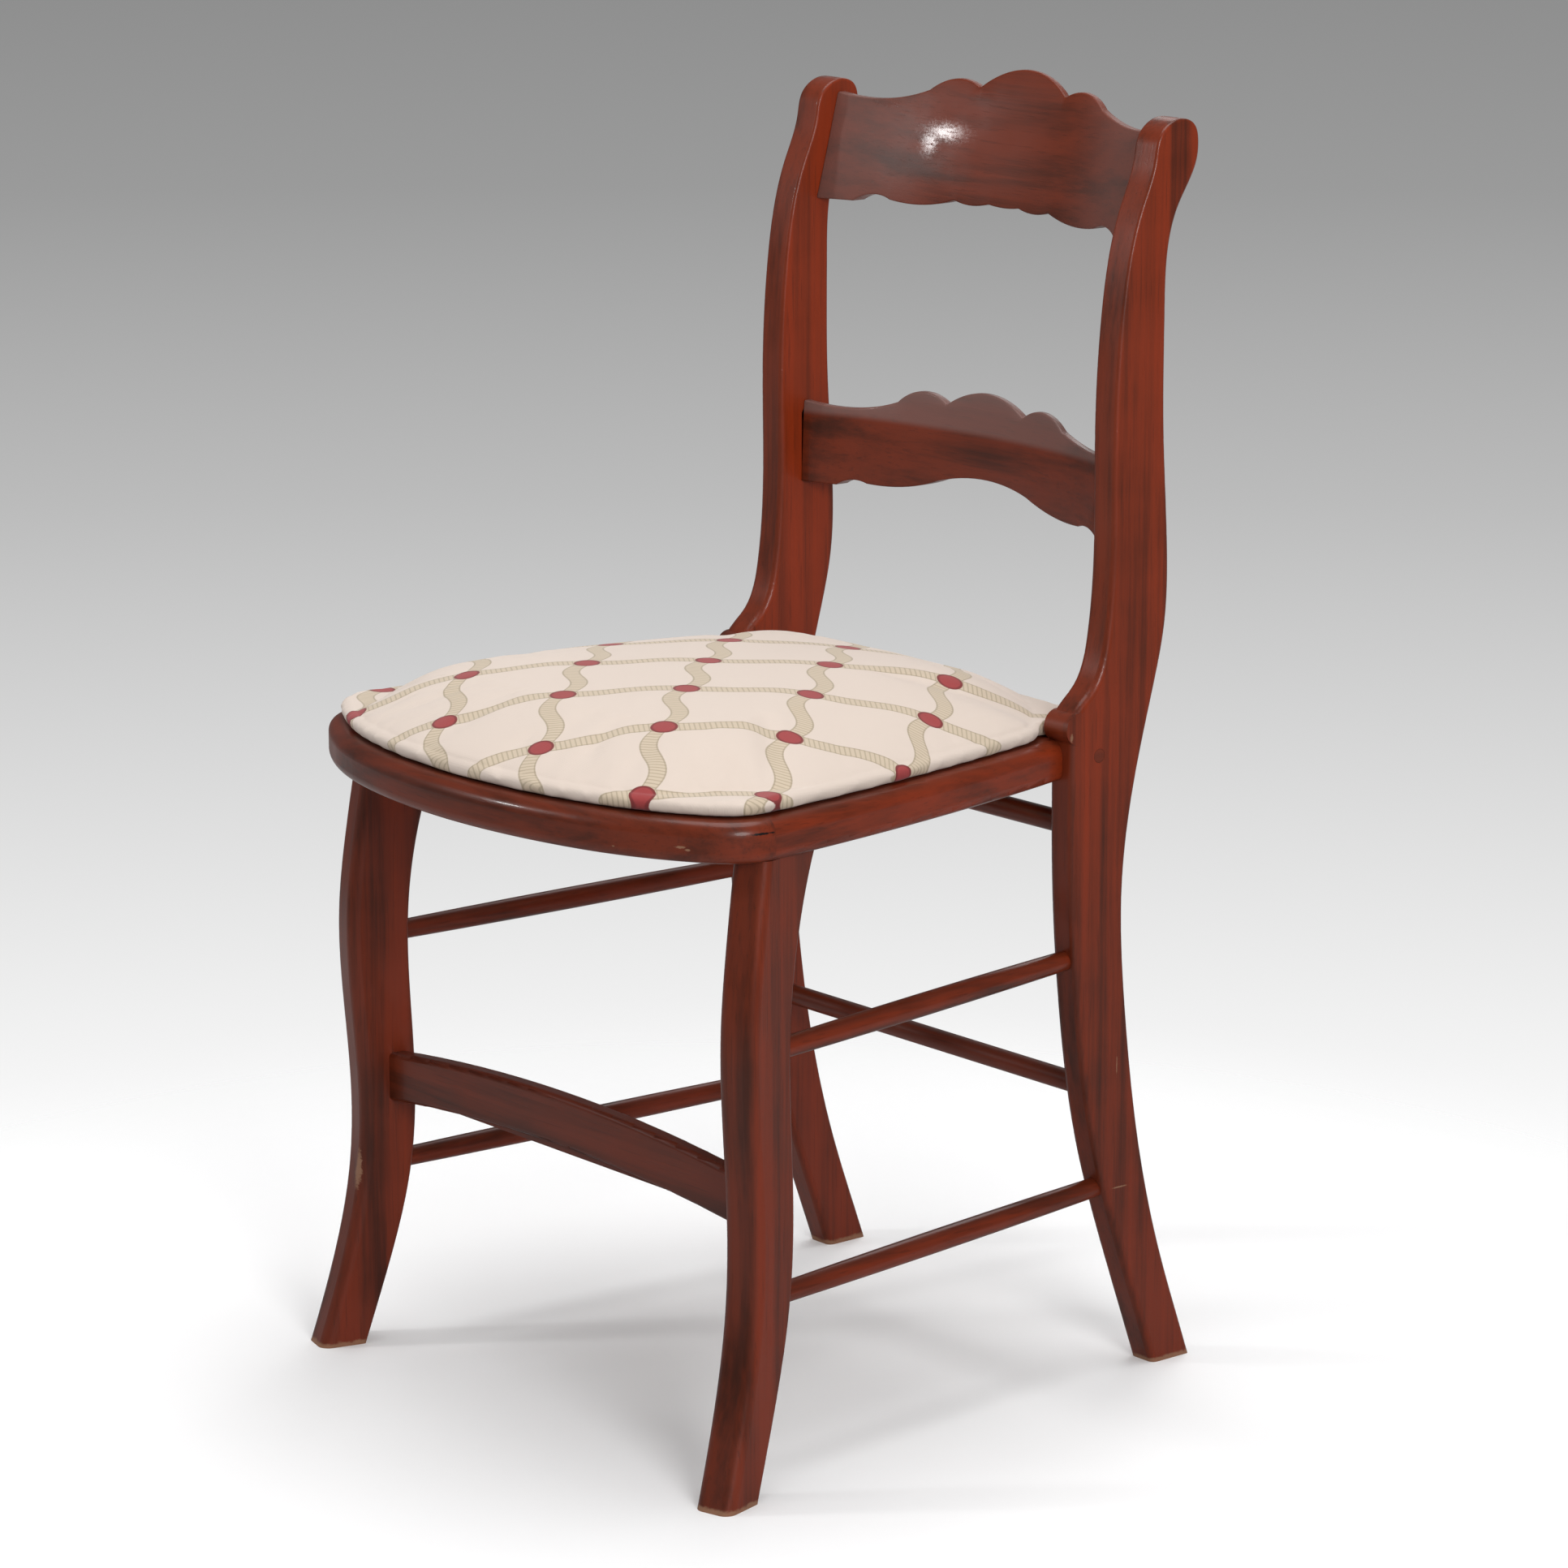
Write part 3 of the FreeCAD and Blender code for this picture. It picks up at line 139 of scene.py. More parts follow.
RAGGEDNESS = 1.6
CHIP_EDGE = 0.3
EDGE_CHIPS = (((0.1855, -0.2045, 0.4225), (0.0030, 0.0035, 0.0008)),
              ((0.1895, -0.2020, 0.4210), (0.0014, 0.0030, 0.0007)),
              ((0.1450, -0.2270, 0.4190), (0.0010, 0.0030, 0.0006)))
EDGE_CRACKS = (((0.2178, -0.1655, 0.4312), (0.0030, 0.0100, 0.0007)),)
POST_CHIPS = (((0.1800, 0.1250, 0.4430), (0.0010, 0.0012, 0.0026)),
              ((0.1800, 0.1730, 0.1306), (0.0010, 0.0060, 0.0005)),
              ((0.1800, 0.1690, 0.2150), (0.0010, 0.0004, 0.0060)))
LEG_CHIPS = (((0.2110, -0.2200, 0.0900), (0.0040, 0.0040, 0.0010)),
             ((-0.1990, -0.1790, 0.1250), (0.0040, 0.0030, 0.0140)),
             ((0.2080, -0.2100, 0.0560), (0.0030, 0.0030, 0.0012)))

# Varnishes of the frame: their pieces and name, the axis of their grain (X is 0), how much redder and lighter
# they are where they face sideways (partly their wood, partly painted light), how far their grain is shifted,
# and their wear

VARNISHES = ((POSTS, "post_varnish", 2, 1.0, 0.3, {"foot": True, "chips": POST_CHIPS}),
             (LEGS, "leg_varnish", 2, 0.8, 1.7, {"foot": True, "chips": LEG_CHIPS}),
             (CROSS_RAILS, "front_rail_varnish", 0, 0.6, 2.9, {"chips": EDGE_CHIPS, "cracks": EDGE_CRACKS}),
             (SIDE_RAILS, "side_rail_varnish", 1, 1.0, 4.1, {}),
             (CROSS_STRETCHERS, "cross_stretcher_varnish", 0, 0.8, 5.3, {}),
             (SIDE_STRETCHERS, "side_stretcher_varnish", 1, 0.9, 6.1, {}),
             (("post_plugs",), "plug_varnish", 1, 0.3, 7.7, {}))

# Patches of the crest rail that are polished smoother, in the same form as the marks of wear

POLISH_EDGE = 0.8
CREST_POLISH = (((-0.0640, 0.2278, 0.8080), (0.0170, 0.0150, 0.0058)),
                ((-0.0770, 0.2230, 0.8010), (0.0070, 0.0150, 0.0080)),
                ((-0.1150, 0.2130, 0.8240), (0.0140, 0.0120, 0.0035)))

# Back rails: how sharp an edge is rounded or shown as an edge, in degrees

ROUNDED_ANGLE = 40
SHOWN_ANGLE = 35

# Middle rail: the height of its crease, and where along it the extra lean of its top starts and ends

CREASE_RISE = 0.0465
CREASE_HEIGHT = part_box("mid_rail")[0].z + CREASE_RISE
CREASE_MARGIN = 0.001
LEAN_START = 0.05
LEAN_END = 0.11

# Filling of the cushion: its mesh, the push of the padding, and the foot that the frame holds

VOXEL = 0.0045
PRESSURE = 4.0
LAST_FRAME = 20
HELD_HEIGHT = 0.008
FOOT_GAP = 0.0004
SIDE_ROOM = 0.002

# Points nearer than the first are merged, and nothing is divided by less than the second

MERGE_GAP = 0.00002
TINY = 0.000001

# Form of the cushion: its right corners, how far round them its crown falls, its hem and its seam

SEAT_CORNERS = ((0.21, -0.18), (0.145, 0.165))
CORNER_NEAR = 0.012
CORNER_FAR = 0.085
CROWN_SHARE = 0.95
HEM = 0.0112
SEAM_DEPTH = 0.0012
SEAM_HALF = 0.0018
SEAM_REACH = 0.1

# Printed cloth: how far it is let out where the crown falls

DROP_STRETCH = 1.5

# Knots: half of one's size, where its rim and its face end, and how much darker the rim is

KNOT_HALF = (0.0096, 0.0082)
KNOT_RIM = (1.04, 0.97)
KNOT_FACE = (0.86, 0.76)
KNOT_DARKER = 0.6

# Cords: their sway, their strands and outline, how soft those are, and how strongly each part is printed

WIDE_SWAY = 0.075
NARROW_SWAY = -0.035
STRAND_PITCH = 0.0033
STRAND_LEAN = 90.0
STRAND_GAP = (0.22, 0.08)
OUTLINE_WIDTH = 0.0007
OUTLINE_BLUR = 0.0006
BLUR_OUTSIDE = 0.0004
BLUR_INSIDE = 0.0003
CORD_DARKER = 0.55
CORD_SHARE = 0.7
STRAND_SHARE = 0.5
OUTLINE_SHARE = 0.55

# Cotton: its surface, its threads to the metre, and its relief

COTTON_SURFACE = {"Roughness": 0.85, "Specular IOR Level": 0.25, "Sheen Weight": 0.15, "Sheen Roughness": 0.5}
WEAVE = 260.0
WEAVE_SHARE = 0.25
SLUB_SHARE = 0.8
COTTON_RELIEF = (0.18, 0.0006)

# Floor: its radius, its white, how grey it is in reflections, and where it fades out

FLOOR_RADIUS = 1.6
FLOOR_WHITE = 0.94
FLOOR_REFLECTED = 0.4
FADE_START = 0.5
FADE_END = 0.95

# Backdrop: the view's lowest and highest angle in degrees, its greys on the way up, and its even light

VIEW_LOW = -17.8
VIEW_HIGH = -4.9
BACKDROP_GREYS = ((0.0, 1.0), (0.08, 0.98), (0.6, 0.5), (0.85, 0.325))
BACKDROP_REFLECTED = 0.55
AMBIENT = (0.45, 0.45, 0.455)

# Lamps: the name, place and width of each, and its share of the lamp power

LAMPS = (("top_lamp", (0.0, 0.1, 3.0), 2.2, 0.75),
         ("main_lamp", (3.0, -1.1, 1.6), 1.3, 0.9),
         ("window_lamp", (-1.76, -2.36, 1.63), 0.3, 0.27),
         ("rear_lamp", (-1.6, 2.2, 2.4), 1.6, 0.2))
LAMP_AIM = (0.0, 0.0, 0.4)

# Camera: its angles in degrees, how far it stands from the point that it looks at, and its lens

CAMERA_AZIMUTH = 50.27
CAMERA_RISE = 12.95
CAMERA_DISTANCE = 3.636
CAMERA_AIM = (0.0368, 0.0016, 0.4056)
SENSOR_WIDTH = 36.0
LENS = 127.48

# Sockets whose names repeat on their node: the colours of Mix, and the vectors of Map Range

MIX_FIRST = 6
MIX_SECOND = 7
MIX_RESULT = 2
FROM_LOW = 7
FROM_HIGH = 8
TO_LOW = 9
TO_HIGH = 10


# Settings that a user would change

class VarnishColours(bpy.types.PropertyGroup):
    # Redder, lighter tone laid mostly on faces turned sideways: partly the wood's own colour, partly painted
    # light
    lit: bpy.props.FloatVectorProperty(
        name="Red-brown", description="Varnished wood where it is thin and red", subtype="COLOR", size=3,
        default=(0.25, 0.028, 0.005))
    middle: bpy.props.FloatVectorProperty(
        name="Brown", description="Varnished wood between its streaks", subtype="COLOR", size=3,
        default=(0.135, 0.021, 0.0065))
    dark: bpy.props.FloatVectorProperty(
        name="Streaks", description="Grain streaks and old varnish", subtype="COLOR", size=3,
        default=(0.05, 0.0105, 0.004))
    # Painted shade: the colour that darkens the wood towards the floor
    floor_shade: bpy.props.FloatVectorProperty(
        name="Grime", description="How far old polish darkens the wood towards the floor", subtype="COLOR",
        size=3, default=(0.46, 0.46, 0.46))
    # Painted reflection: the greyish sheen painted on the back rails
    painted_reflection: bpy.props.FloatVectorProperty(
        name="Haze", description="Greyish bloom on the varnish of the back rails", subtype="COLOR", size=3,
        default=(0.19, 0.14, 0.13))
    worn: bpy.props.FloatVectorProperty(
        name="Worn wood", description="Bare wood at worn arrises and feet", subtype="COLOR", size=3,
        default=(0.26, 0.14, 0.08))


class SeatSettings(bpy.types.PropertyGroup):
    cloth: bpy.props.FloatVectorProperty(
        name="Cloth", description="Ground colour of the printed cotton", subtype="COLOR", size=3,
        default=(0.62, 0.525, 0.455))
    cord: bpy.props.FloatVectorProperty(
        name="Cord", description="Printed cords of the trellis", subtype="COLOR", size=3,
        default=(0.5, 0.405, 0.275))
    knot: bpy.props.FloatVectorProperty(
        name="Knot", description="Printed knots where the cords cross", subtype="COLOR", size=3,
        default=(0.3, 0.04, 0.04))
    knot_apart: bpy.props.FloatVectorProperty(
        name="Knot spacing", description="Half the distance between knots across and along the seat",
        subtype="XYZ_LENGTH", size=2, default=(0.052, 0.060))
    cord_width: bpy.props.FloatProperty(
        name="Cord width", description="Width of a printed cord", subtype="DISTANCE", unit="LENGTH",
        default=0.0115)
    swell: bpy.props.FloatProperty(
        name="Swell", description="How far the padding may swell when it is filled", subtype="DISTANCE",
        unit="LENGTH", default=0.004)


class RailSettings(bpy.types.PropertyGroup):
    arris: bpy.props.FloatProperty(
        name="Arris", description="Rounding of the back rails' edges", subtype="DISTANCE", unit="LENGTH",
        default=0.0012)
    hollow: bpy.props.FloatProperty(
        name="Hollow", description="How much further the middle rail's top leans back towards its ends",
        subtype="DISTANCE", unit="LENGTH", default=0.0018)


class StageSettings(bpy.types.PropertyGroup):
    top_grey: bpy.props.FloatProperty(
        name="Top grey", description="Brightness of the backdrop at the top of the view", subtype="FACTOR",
        default=0.275, min=0, max=1)
    lamp_power: bpy.props.FloatProperty(
        name="Lamp power", description="Power that the lamps take their shares of", subtype="POWER",
        unit="POWER", default=60.0)


# Helpers for materials

def material(name):
    """New node material, with its tree and its shader."""
    made = bpy.data.materials.new(name)
    made.use_nodes = True
    tree = made.node_tree
    shader = tree.nodes["Principled BSDF"]
    return made, tree, shader


def feed(tree, node, inputs):
    """Inputs of a node, each a value or another node's output."""
    for key, value in inputs.items():
        if isinstance(value, bpy.types.NodeSocket):
            tree.links.new(value, node.inputs[key])
        else:
            node.inputs[key].default_value = value


def put(tree, kind, inputs=None, **settings):
    """A new node with its settings and inputs."""
    node = tree.nodes.new("ShaderNode" + kind)
    for key, value in settings.items():
        setattr(node, key, value)
    feed(tree, node, inputs or {})
    return node


def calc(tree, operation, first, second=0.0):
    """Result of a sum on one or two values."""
    node = put(tree, "Math", {0: first, 1: second}, operation=operation)
    return node.outputs[0]


def ramp(tree, value, low, high, out_low=0.0, out_high=1.0):
    """Smooth step of a value between two limits."""
    node = put(tree, "MapRange", {"Value": value, "From Min": low, "From Max": high, "To Min": out_low,
                                  "To Max": out_high}, interpolation_type="SMOOTHSTEP")
    return node.outputs["Result"]


def blend(tree, factor, first, second, mode="MIX"):
    """A colour between two, or one laid over the other."""
    node = put(tree, "Mix", {"Factor": factor, MIX_FIRST: first, MIX_SECOND: second}, data_type="RGBA",
               blend_type=mode)
    return node.outputs[MIX_RESULT]


def noise(tree, vector, scale, detail, roughness):
    """Even noise, so many marks to the metre."""
    node = put(tree, "TexNoise", {"Vector": vector, "Scale": scale, "Detail": detail, "Roughness": roughness})
    return node.outputs["Fac"]


def relief(tree, height, strength, depth):
    """Normal of a surface whose height varies a little."""
    return put(tree, "Bump", {"Height": height, "Strength": strength, "Distance": depth}).outputs[0]


def opaque(colour):
    """Three parts of a colour as a node takes them."""
    return (colour[0], colour[1], colour[2], 1.0)


def spots(tree, place, places, edge=CHIP_EDGE):
    """Mask of small ellipsoids, each a centre and a half size along each axis, with ragged edges."""
    ragged = calc(tree, "SUBTRACT", noise(tree, place, *RAGGED_EDGES), 0.5)
    ragged = calc(tree, "MULTIPLY", ragged, RAGGEDNESS)
    mask = 0.0
    for centre, half in places:
        low = [middle - reach for middle, reach in zip(centre, half)]
        high = [middle + reach for middle, reach in zip(centre, half)]
        local = put(tree, "MapRange", {"Vector": place, FROM_LOW: low, FROM_HIGH: high, TO_LOW: (-1, -1, -1),
                                       TO_HIGH: (1, 1, 1)}, clamp=False, data_type="FLOAT_VECTOR")
        reach = put(tree, "VectorMath", {0: local.outputs["Vector"]}, operation="LENGTH").outputs["Value"]
        spot = ramp(tree, calc(tree, "ADD", reach, ragged), 1.0 + edge, 1.0 - edge)
        mask = calc(tree, "MAXIMUM", mask, spot)
    return mask


def end_reflection(tree, flat):
    """Painted greyish reflection towards both ends of the crest rail."""
    return ramp(tree, calc(tree, "ABSOLUTE", flat.outputs["X"]), *END_REFLECTION_RUN, 0.0, END_REFLECTION)


def top_reflection(tree, flat):
    """Painted greyish reflection over the middle rail's crease, where its top leans back."""
    low = CREASE_HEIGHT - TOP_REFLECTION_BELOW
    high = CREASE_HEIGHT + TOP_REFLECTION_ABOVE
    return ramp(tree, flat.outputs["Z"], low, high, 0.0, TOP_REFLECTION)


def varnished_wood(name, along, red_and_side_light, shift, foot=False, gloss=0.3, coat=0.15, chips=(), cracks=(),
                   polished=(), painted_reflection=None):
    """Dark varnish over wood: streaks along one axis, blotches, redder where it faces sideways (partly painted
    light), painted shade towards the floor.
    """
    colours = bpy.context.scene.chair_varnish
    made, tree, shader = material(name)
    place = put(tree, "TexCoord").outputs["Object"]
    squeeze = [1.0, 1.0, 1.0]
    squeeze[along] = GRAIN_SQUEEZE
    grain = put(tree, "Mapping", {"Vector": place, "Location": [shift * part for part in GRAIN_SHIFT],
                                  "Scale": squeeze}).outputs[0]
    fine = noise(tree, grain, *FINE_GRAIN)
    figure = noise(tree, grain, *FIGURE)
    blotch = noise(tree, place, *BLOTCHES)
    streaks = calc(tree, "MULTIPLY", figure, FIGURE_SHARE)
    tone = calc(tree, "ADD", calc(tree, "MULTIPLY", fine, FINE_SHARE), streaks)
    tone = calc(tree, "ADD", tone, calc(tree, "MULTIPLY", calc(tree, "SUBTRACT", blotch, 0.5), BLOTCH_SHARE))
    colour = blend(tree, ramp(tree, tone, *STREAK_TONES), opaque(colours.dark), opaque(colours.middle))
    # Sideways faces take more of the redder, lighter tone: partly the wood's own colour, partly painted light
    normal = put(tree, "SeparateXYZ", {0: put(tree, "NewGeometry").outputs["Normal"]})
    side_red_and_light_mask = ramp(tree, calc(tree, "ABSOLUTE", normal.outputs["X"]), *SIDE_FACING, LIT_IN_FRONT, 1.0)
    lit = calc(tree, "MULTIPLY", ramp(tree, tone, *LIT_TONES), side_red_and_light_mask)
    colour = blend(tree, calc(tree, "MULTIPLY", lit, red_and_side_light), colour, opaque(colours.lit))
    pores = ramp(tree, noise(tree, grain, *PORES), *PORE_TONES)
    colour = blend(tree, calc(tree, "MULTIPLY", pores, PORE_SHARE), colour, opaque(colours.dark))
    flat = put(tree, "SeparateXYZ", {0: place})
    height = flat.outputs["Z"]
    # Painted shade: darker towards the floor
    floor_shade = ramp(tree, height, SHADE_TOP, 0.0, 0.0, SHADE_AT_FLOOR)
    colour = blend(tree, floor_shade, colour, opaque(colours.floor_shade), "MULTIPLY")
    rough = ramp(tree, blotch, *BLOTCH_TONES, gloss, gloss + GLOSS_SPREAD)
    # Painted reflection: a greyish sheen blended into the colour
    if painted_reflection:
        colour = blend(tree, painted_reflection(tree, flat), colour, opaque(colours.painted_reflection))
    if polished:
        shine = calc(tree, "MULTIPLY", spots(tree, place, polished, POLISH_EDGE), POLISH)
        rough = calc(tree, "MULTIPLY", rough, calc(tree, "SUBTRACT", 1.0, shine))
    bare = 0.0
    if foot:
        scuffs = noise(tree, place, *SCUFFS)
        edge = calc(tree, "SUBTRACT", height, calc(tree, "MULTIPLY", scuffs, SCUFF_RISE))
        bare = ramp(tree, edge, WORN_TOE, -WORN_TOE)
    if chips:
        bare = calc(tree, "MAXIMUM", bare, spots(tree, place, chips))
    if foot or chips:
        colour = blend(tree, calc(tree, "MULTIPLY", bare, WORN_SHARE), colour, opaque(colours.worn))
        rough = calc(tree, "ADD", rough, calc(tree, "MULTIPLY", bare, WORN_ROUGHNESS))
    if cracks:
        colour = blend(tree, spots(tree, place, cracks), colour, opaque(CRACK))
    surface = calc(tree, "SUBTRACT", fine, calc(tree, "MULTIPLY", pores, PORE_DEPTH))
    feed(tree, shader, {"Base Color": colour, "Roughness": rough, "Specular IOR Level": SPECULAR,
                        "Coat Weight": coat, "Coat Roughness": COAT_ROUGHNESS,
                        "Normal": relief(tree, surface, *VARNISH_RELIEF)})
    return made


def bare_wood(name, colour, along):
    """Light, unfinished wood of the dowels and the seat's board."""
    made, tree, shader = material(name)
    place = put(tree, "TexCoord").outputs["Object"]
    squeeze = [1.0, 1.0, 1.0]
    squeeze[along] = BARE_SQUEEZE
    grain = put(tree, "Mapping", {"Vector": place, "Scale": squeeze}).outputs[0]
    tone = noise(tree, grain, *BARE_GRAIN)
    dark = [part * BARE_DARKER for part in colour]
    mixed = blend(tree, ramp(tree, tone, *BARE_TONES), opaque(dark), opaque(colour))
    feed(tree, shader, {"Base Color": mixed, "Roughness": BARE_ROUGHNESS,
                        "Normal": relief(tree, tone, *BARE_RELIEF)})
    return made


def screw_steel():
    """Plain, slightly uneven steel of the screws."""
    made, tree, shader = material("plain_steel")
    place = put(tree, "TexCoord").outputs["Object"]
    tone = noise(tree, place, *STEEL_GRAIN)
    feed(tree, shader, {"Base Color": blend(tree, tone, opaque(STEEL_DARK), opaque(STEEL_LIGHT)),
                        "Metallic": 1.0, "Roughness": ramp(tree, tone, *STEEL_TONES, *STEEL_ROUGHNESS)})
    return made


def printed_cotton():
    """Cream cotton printed with a trellis of cords and knots, on the cloth's own flat coordinates."""
    seat = bpy.context.scene.chair_seat
    across, along = seat.knot_apart
    made, tree, shader = material("printed_cotton")
    cloth = put(tree, "UVMap", uv_map="Cloth").outputs[0]
    flat = put(tree, "SeparateXYZ", {0: cloth})
    x = calc(tree, "DIVIDE", flat.outputs["X"], across)
    y = calc(tree, "DIVIDE", flat.outputs["Y"], along)
    first = calc(tree, "MULTIPLY", calc(tree, "SUBTRACT", y, x), 0.5)
    second = calc(tree, "MULTIPLY", calc(tree, "ADD", y, x), 0.5)
    span = math.hypot(across, along)
    apart = 2 * across * along / span
    half = seat.cord_width / 2

    def off(value):
        """Distance from the nearest whole number, signed."""
        return calc(tree, "SUBTRACT", value, calc(tree, "ROUND", value))

    def cord(run, crossing, sway):
        """A family of cords: cover, outline and lay of one that sways from knot to knot."""
        wave = calc(tree, "MULTIPLY", calc(tree, "SINE", calc(tree, "MULTIPLY", run, 2 * math.pi)), sway)
        offset = calc(tree, "MULTIPLY", off(calc(tree, "SUBTRACT", crossing, wave)), apart)
        distance = calc(tree, "ABSOLUTE", offset)
        cover = ramp(tree, distance, half + BLUR_OUTSIDE, half - BLUR_INSIDE)
        inside = half - OUTLINE_WIDTH
        outline = calc(tree, "MULTIPLY", ramp(tree, distance, inside - OUTLINE_BLUR, inside), cover)
        lean = calc(tree, "MULTIPLY", offset, STRAND_LEAN)
        turns = calc(tree, "ADD", calc(tree, "MULTIPLY", run, span / STRAND_PITCH), lean)
        lay = ramp(tree, calc(tree, "ABSOLUTE", off(turns)), *STRAND_GAP)
        return cover, outline, calc(tree, "MULTIPLY", lay, cover)

    colour = opaque(seat.cloth)
    cord_edge = [part * CORD_DARKER for part in seat.cord]
    for run, crossing, sway in ((first, second, WIDE_SWAY), (second, first, NARROW_SWAY)):
        cover, outline, lay = cord(run, crossing, sway)
        colour = blend(tree, calc(tree, "MULTIPLY", cover, CORD_SHARE), colour, opaque(seat.cord))
        colour = blend(tree, calc(tree, "MULTIPLY", lay, STRAND_SHARE), colour, opaque(cord_edge))
        colour = blend(tree, calc(tree, "MULTIPLY", outline, OUTLINE_SHARE), colour, opaque(cord_edge))
    off_first = off(first)
    off_second = off(second)
    knot_x = calc(tree, "MULTIPLY", calc(tree, "SUBTRACT", off_second, off_first), across / KNOT_HALF[0])
    knot_y = calc(tree, "MULTIPLY", calc(tree, "ADD", off_second, off_first), along / KNOT_HALF[1])
    reach = calc(tree, "SQRT", calc(tree, "ADD", calc(tree, "MULTIPLY", knot_x, knot_x),
                                    calc(tree, "MULTIPLY", knot_y, knot_y)))
    knot_edge = [part * KNOT_DARKER for part in seat.knot]
    colour = blend(tree, ramp(tree, reach, *KNOT_RIM), colour, opaque(knot_edge))
    colour = blend(tree, ramp(tree, reach, *KNOT_FACE), colour, opaque(seat.knot))
    weave_x = put(tree, "TexWave", {"Vector": cloth, "Scale": WEAVE}, bands_direction="X").outputs["Fac"]
    weave_y = put(tree, "TexWave", {"Vector": cloth, "Scale": WEAVE}, bands_direction="Y").outputs["Fac"]
    slub = noise(tree, cloth, *SLUBS)
    surface = calc(tree, "ADD", calc(tree, "MULTIPLY", calc(tree, "ADD", weave_x, weave_y), WEAVE_SHARE),
                   calc(tree, "MULTIPLY", slub, SLUB_SHARE))
    feed(tree, shader, {"Base Color": colour, "Normal": relief(tree, surface, *COTTON_RELIEF)})
    feed(tree, shader, COTTON_SURFACE)
    return made


# Helpers for meshes

def coordinates(piece):
    """Places of a mesh's points, one row each."""
    found = np.empty(len(piece.data.vertices) * 3)
    piece.data.vertices.foreach_get("co", found)
    return found.reshape(-1, 3)


def move_to(piece, places):
    piece.data.vertices.foreach_set("co", np.asarray(places, float).ravel())
    piece.data.update()


def alone(piece):
    """Makes a piece the active object, and the only selected one."""
    bpy.ops.object.select_all(action="DESELECT")
    piece.select_set(True)
    bpy.context.view_layer.objects.active = piece


def copy_of(node, name):
    """A node's mesh as a new object of its own, its loose triangles merged."""
    piece = bpy.data.objects.new(name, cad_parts[node].data.copy())
    bpy.context.scene.collection.objects.link(piece)
    piece.data.materials.clear()
    alone(piece)
    bpy.ops.object.mode_set(mode="EDIT")
    bpy.ops.mesh.select_all(action="SELECT")
    bpy.ops.mesh.remove_doubles(threshold=MERGE_GAP)
    bpy.ops.object.mode_set(mode="OBJECT")
    return piece


def finish_modifier(piece, kind, **settings):
    """Adds a modifier with its settings and applies it."""
    alone(piece)
    modifier = piece.modifiers.new(kind.lower(), kind)
    for key, value in settings.items():
        setattr(modifier, key, value)
    bpy.ops.object.modifier_apply(modifier=modifier.name)


def dress(names, made):
    """One material on all of a node's slots, for each of the named nodes."""
    for name in names:
        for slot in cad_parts[name].material_slots:
            slot.material = made


def give_place(piece, made):
    """Material in its slot, and body, of a finished new piece."""
    piece.data.materials.clear()
    piece.data.materials.append(made)
    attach(piece, "root")


# Operators: one for each group of like pieces

class CHAIR_OT_frame(bpy.types.Operator):
    """Varnish on the posts, legs, seat frame and stretchers, and bare wood and steel on the fasteners"""
    bl_idname = "chair.frame"
    bl_label = "Varnish the frame"

    def execute(self, context):
        for nodes, name, along, red_and_side_light, shift, wear in VARNISHES:
            dress(nodes, varnished_wood(name, along, red_and_side_light, shift, **wear))
        dress(("seat_board",), bare_wood("board_ply", PLY, along=0))
        dress(("frame_dowels", "post_dowels"), bare_wood("dowel_beech", BEECH, along=1))
        dress(("post_screws", "seat_screws"), screw_steel())
        return {"FINISHED"}


class CHAIR_OT_back_rails(bpy.types.Operator):
    """Crest rail and middle rail with their arrises rounded over"""
    bl_idname = "chair.back_rails"
    bl_label = "Round the back rails"

    def execute(self, context):
        settings = context.scene.chair_rails
        # The crest rail's ends and the middle rail's top get a painted greyish reflection
        crest_varnish = varnished_wood("crest_varnish", along=0, red_and_side_light=0.3, shift=8.3, gloss=0.36, coat=0.0,
                                       polished=CREST_POLISH, painted_reflection=end_reflection)
        middle_varnish = varnished_wood("mid_rail_varnish", along=0, red_and_side_light=0.75, shift=9.7, gloss=0.34,
                                        painted_reflection=top_reflection)
        for node, varnish in (("crest_rail", crest_varnish), ("mid_rail", middle_varnish)):
            piece = copy_of(node, node + "_rounded")
            if node == "mid_rail":
                self.lean_top(piece, settings.hollow)
            finish_modifier(piece, "BEVEL", width=settings.arris, segments=3, limit_method="ANGLE",
                            angle_limit=math.radians(ROUNDED_ANGLE), use_clamp_overlap=False)
            alone(piece)
            bpy.ops.object.shade_smooth_by_angle(angle=math.radians(SHOWN_ANGLE))
            give_place(piece, varnish)
            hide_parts(node)
        return {"FINISHED"}

    def lean_top(self, piece, hollow):
        """Front of the scalloped top moved back, more towards the rail's ends than in its middle."""
        places = coordinates(piece)
        low = places[:, 2] < CREASE_HEIGHT
        fit = np.polyfit(places[low, 0] ** 2, places[low, 1], 2)
        behind = places[:, 1] - np.polyval(fit, places[:, 0] ** 2)
        top_front = (places[:, 2] > CREASE_HEIGHT + CREASE_MARGIN) & (behind < 0)
        ends = np.clip((np.abs(places[:, 0]) - LEAN_START) / (LEAN_END - LEAN_START), 0, 1)
        places[:, 1] += hollow * ends * top_front
        move_to(piece, places)


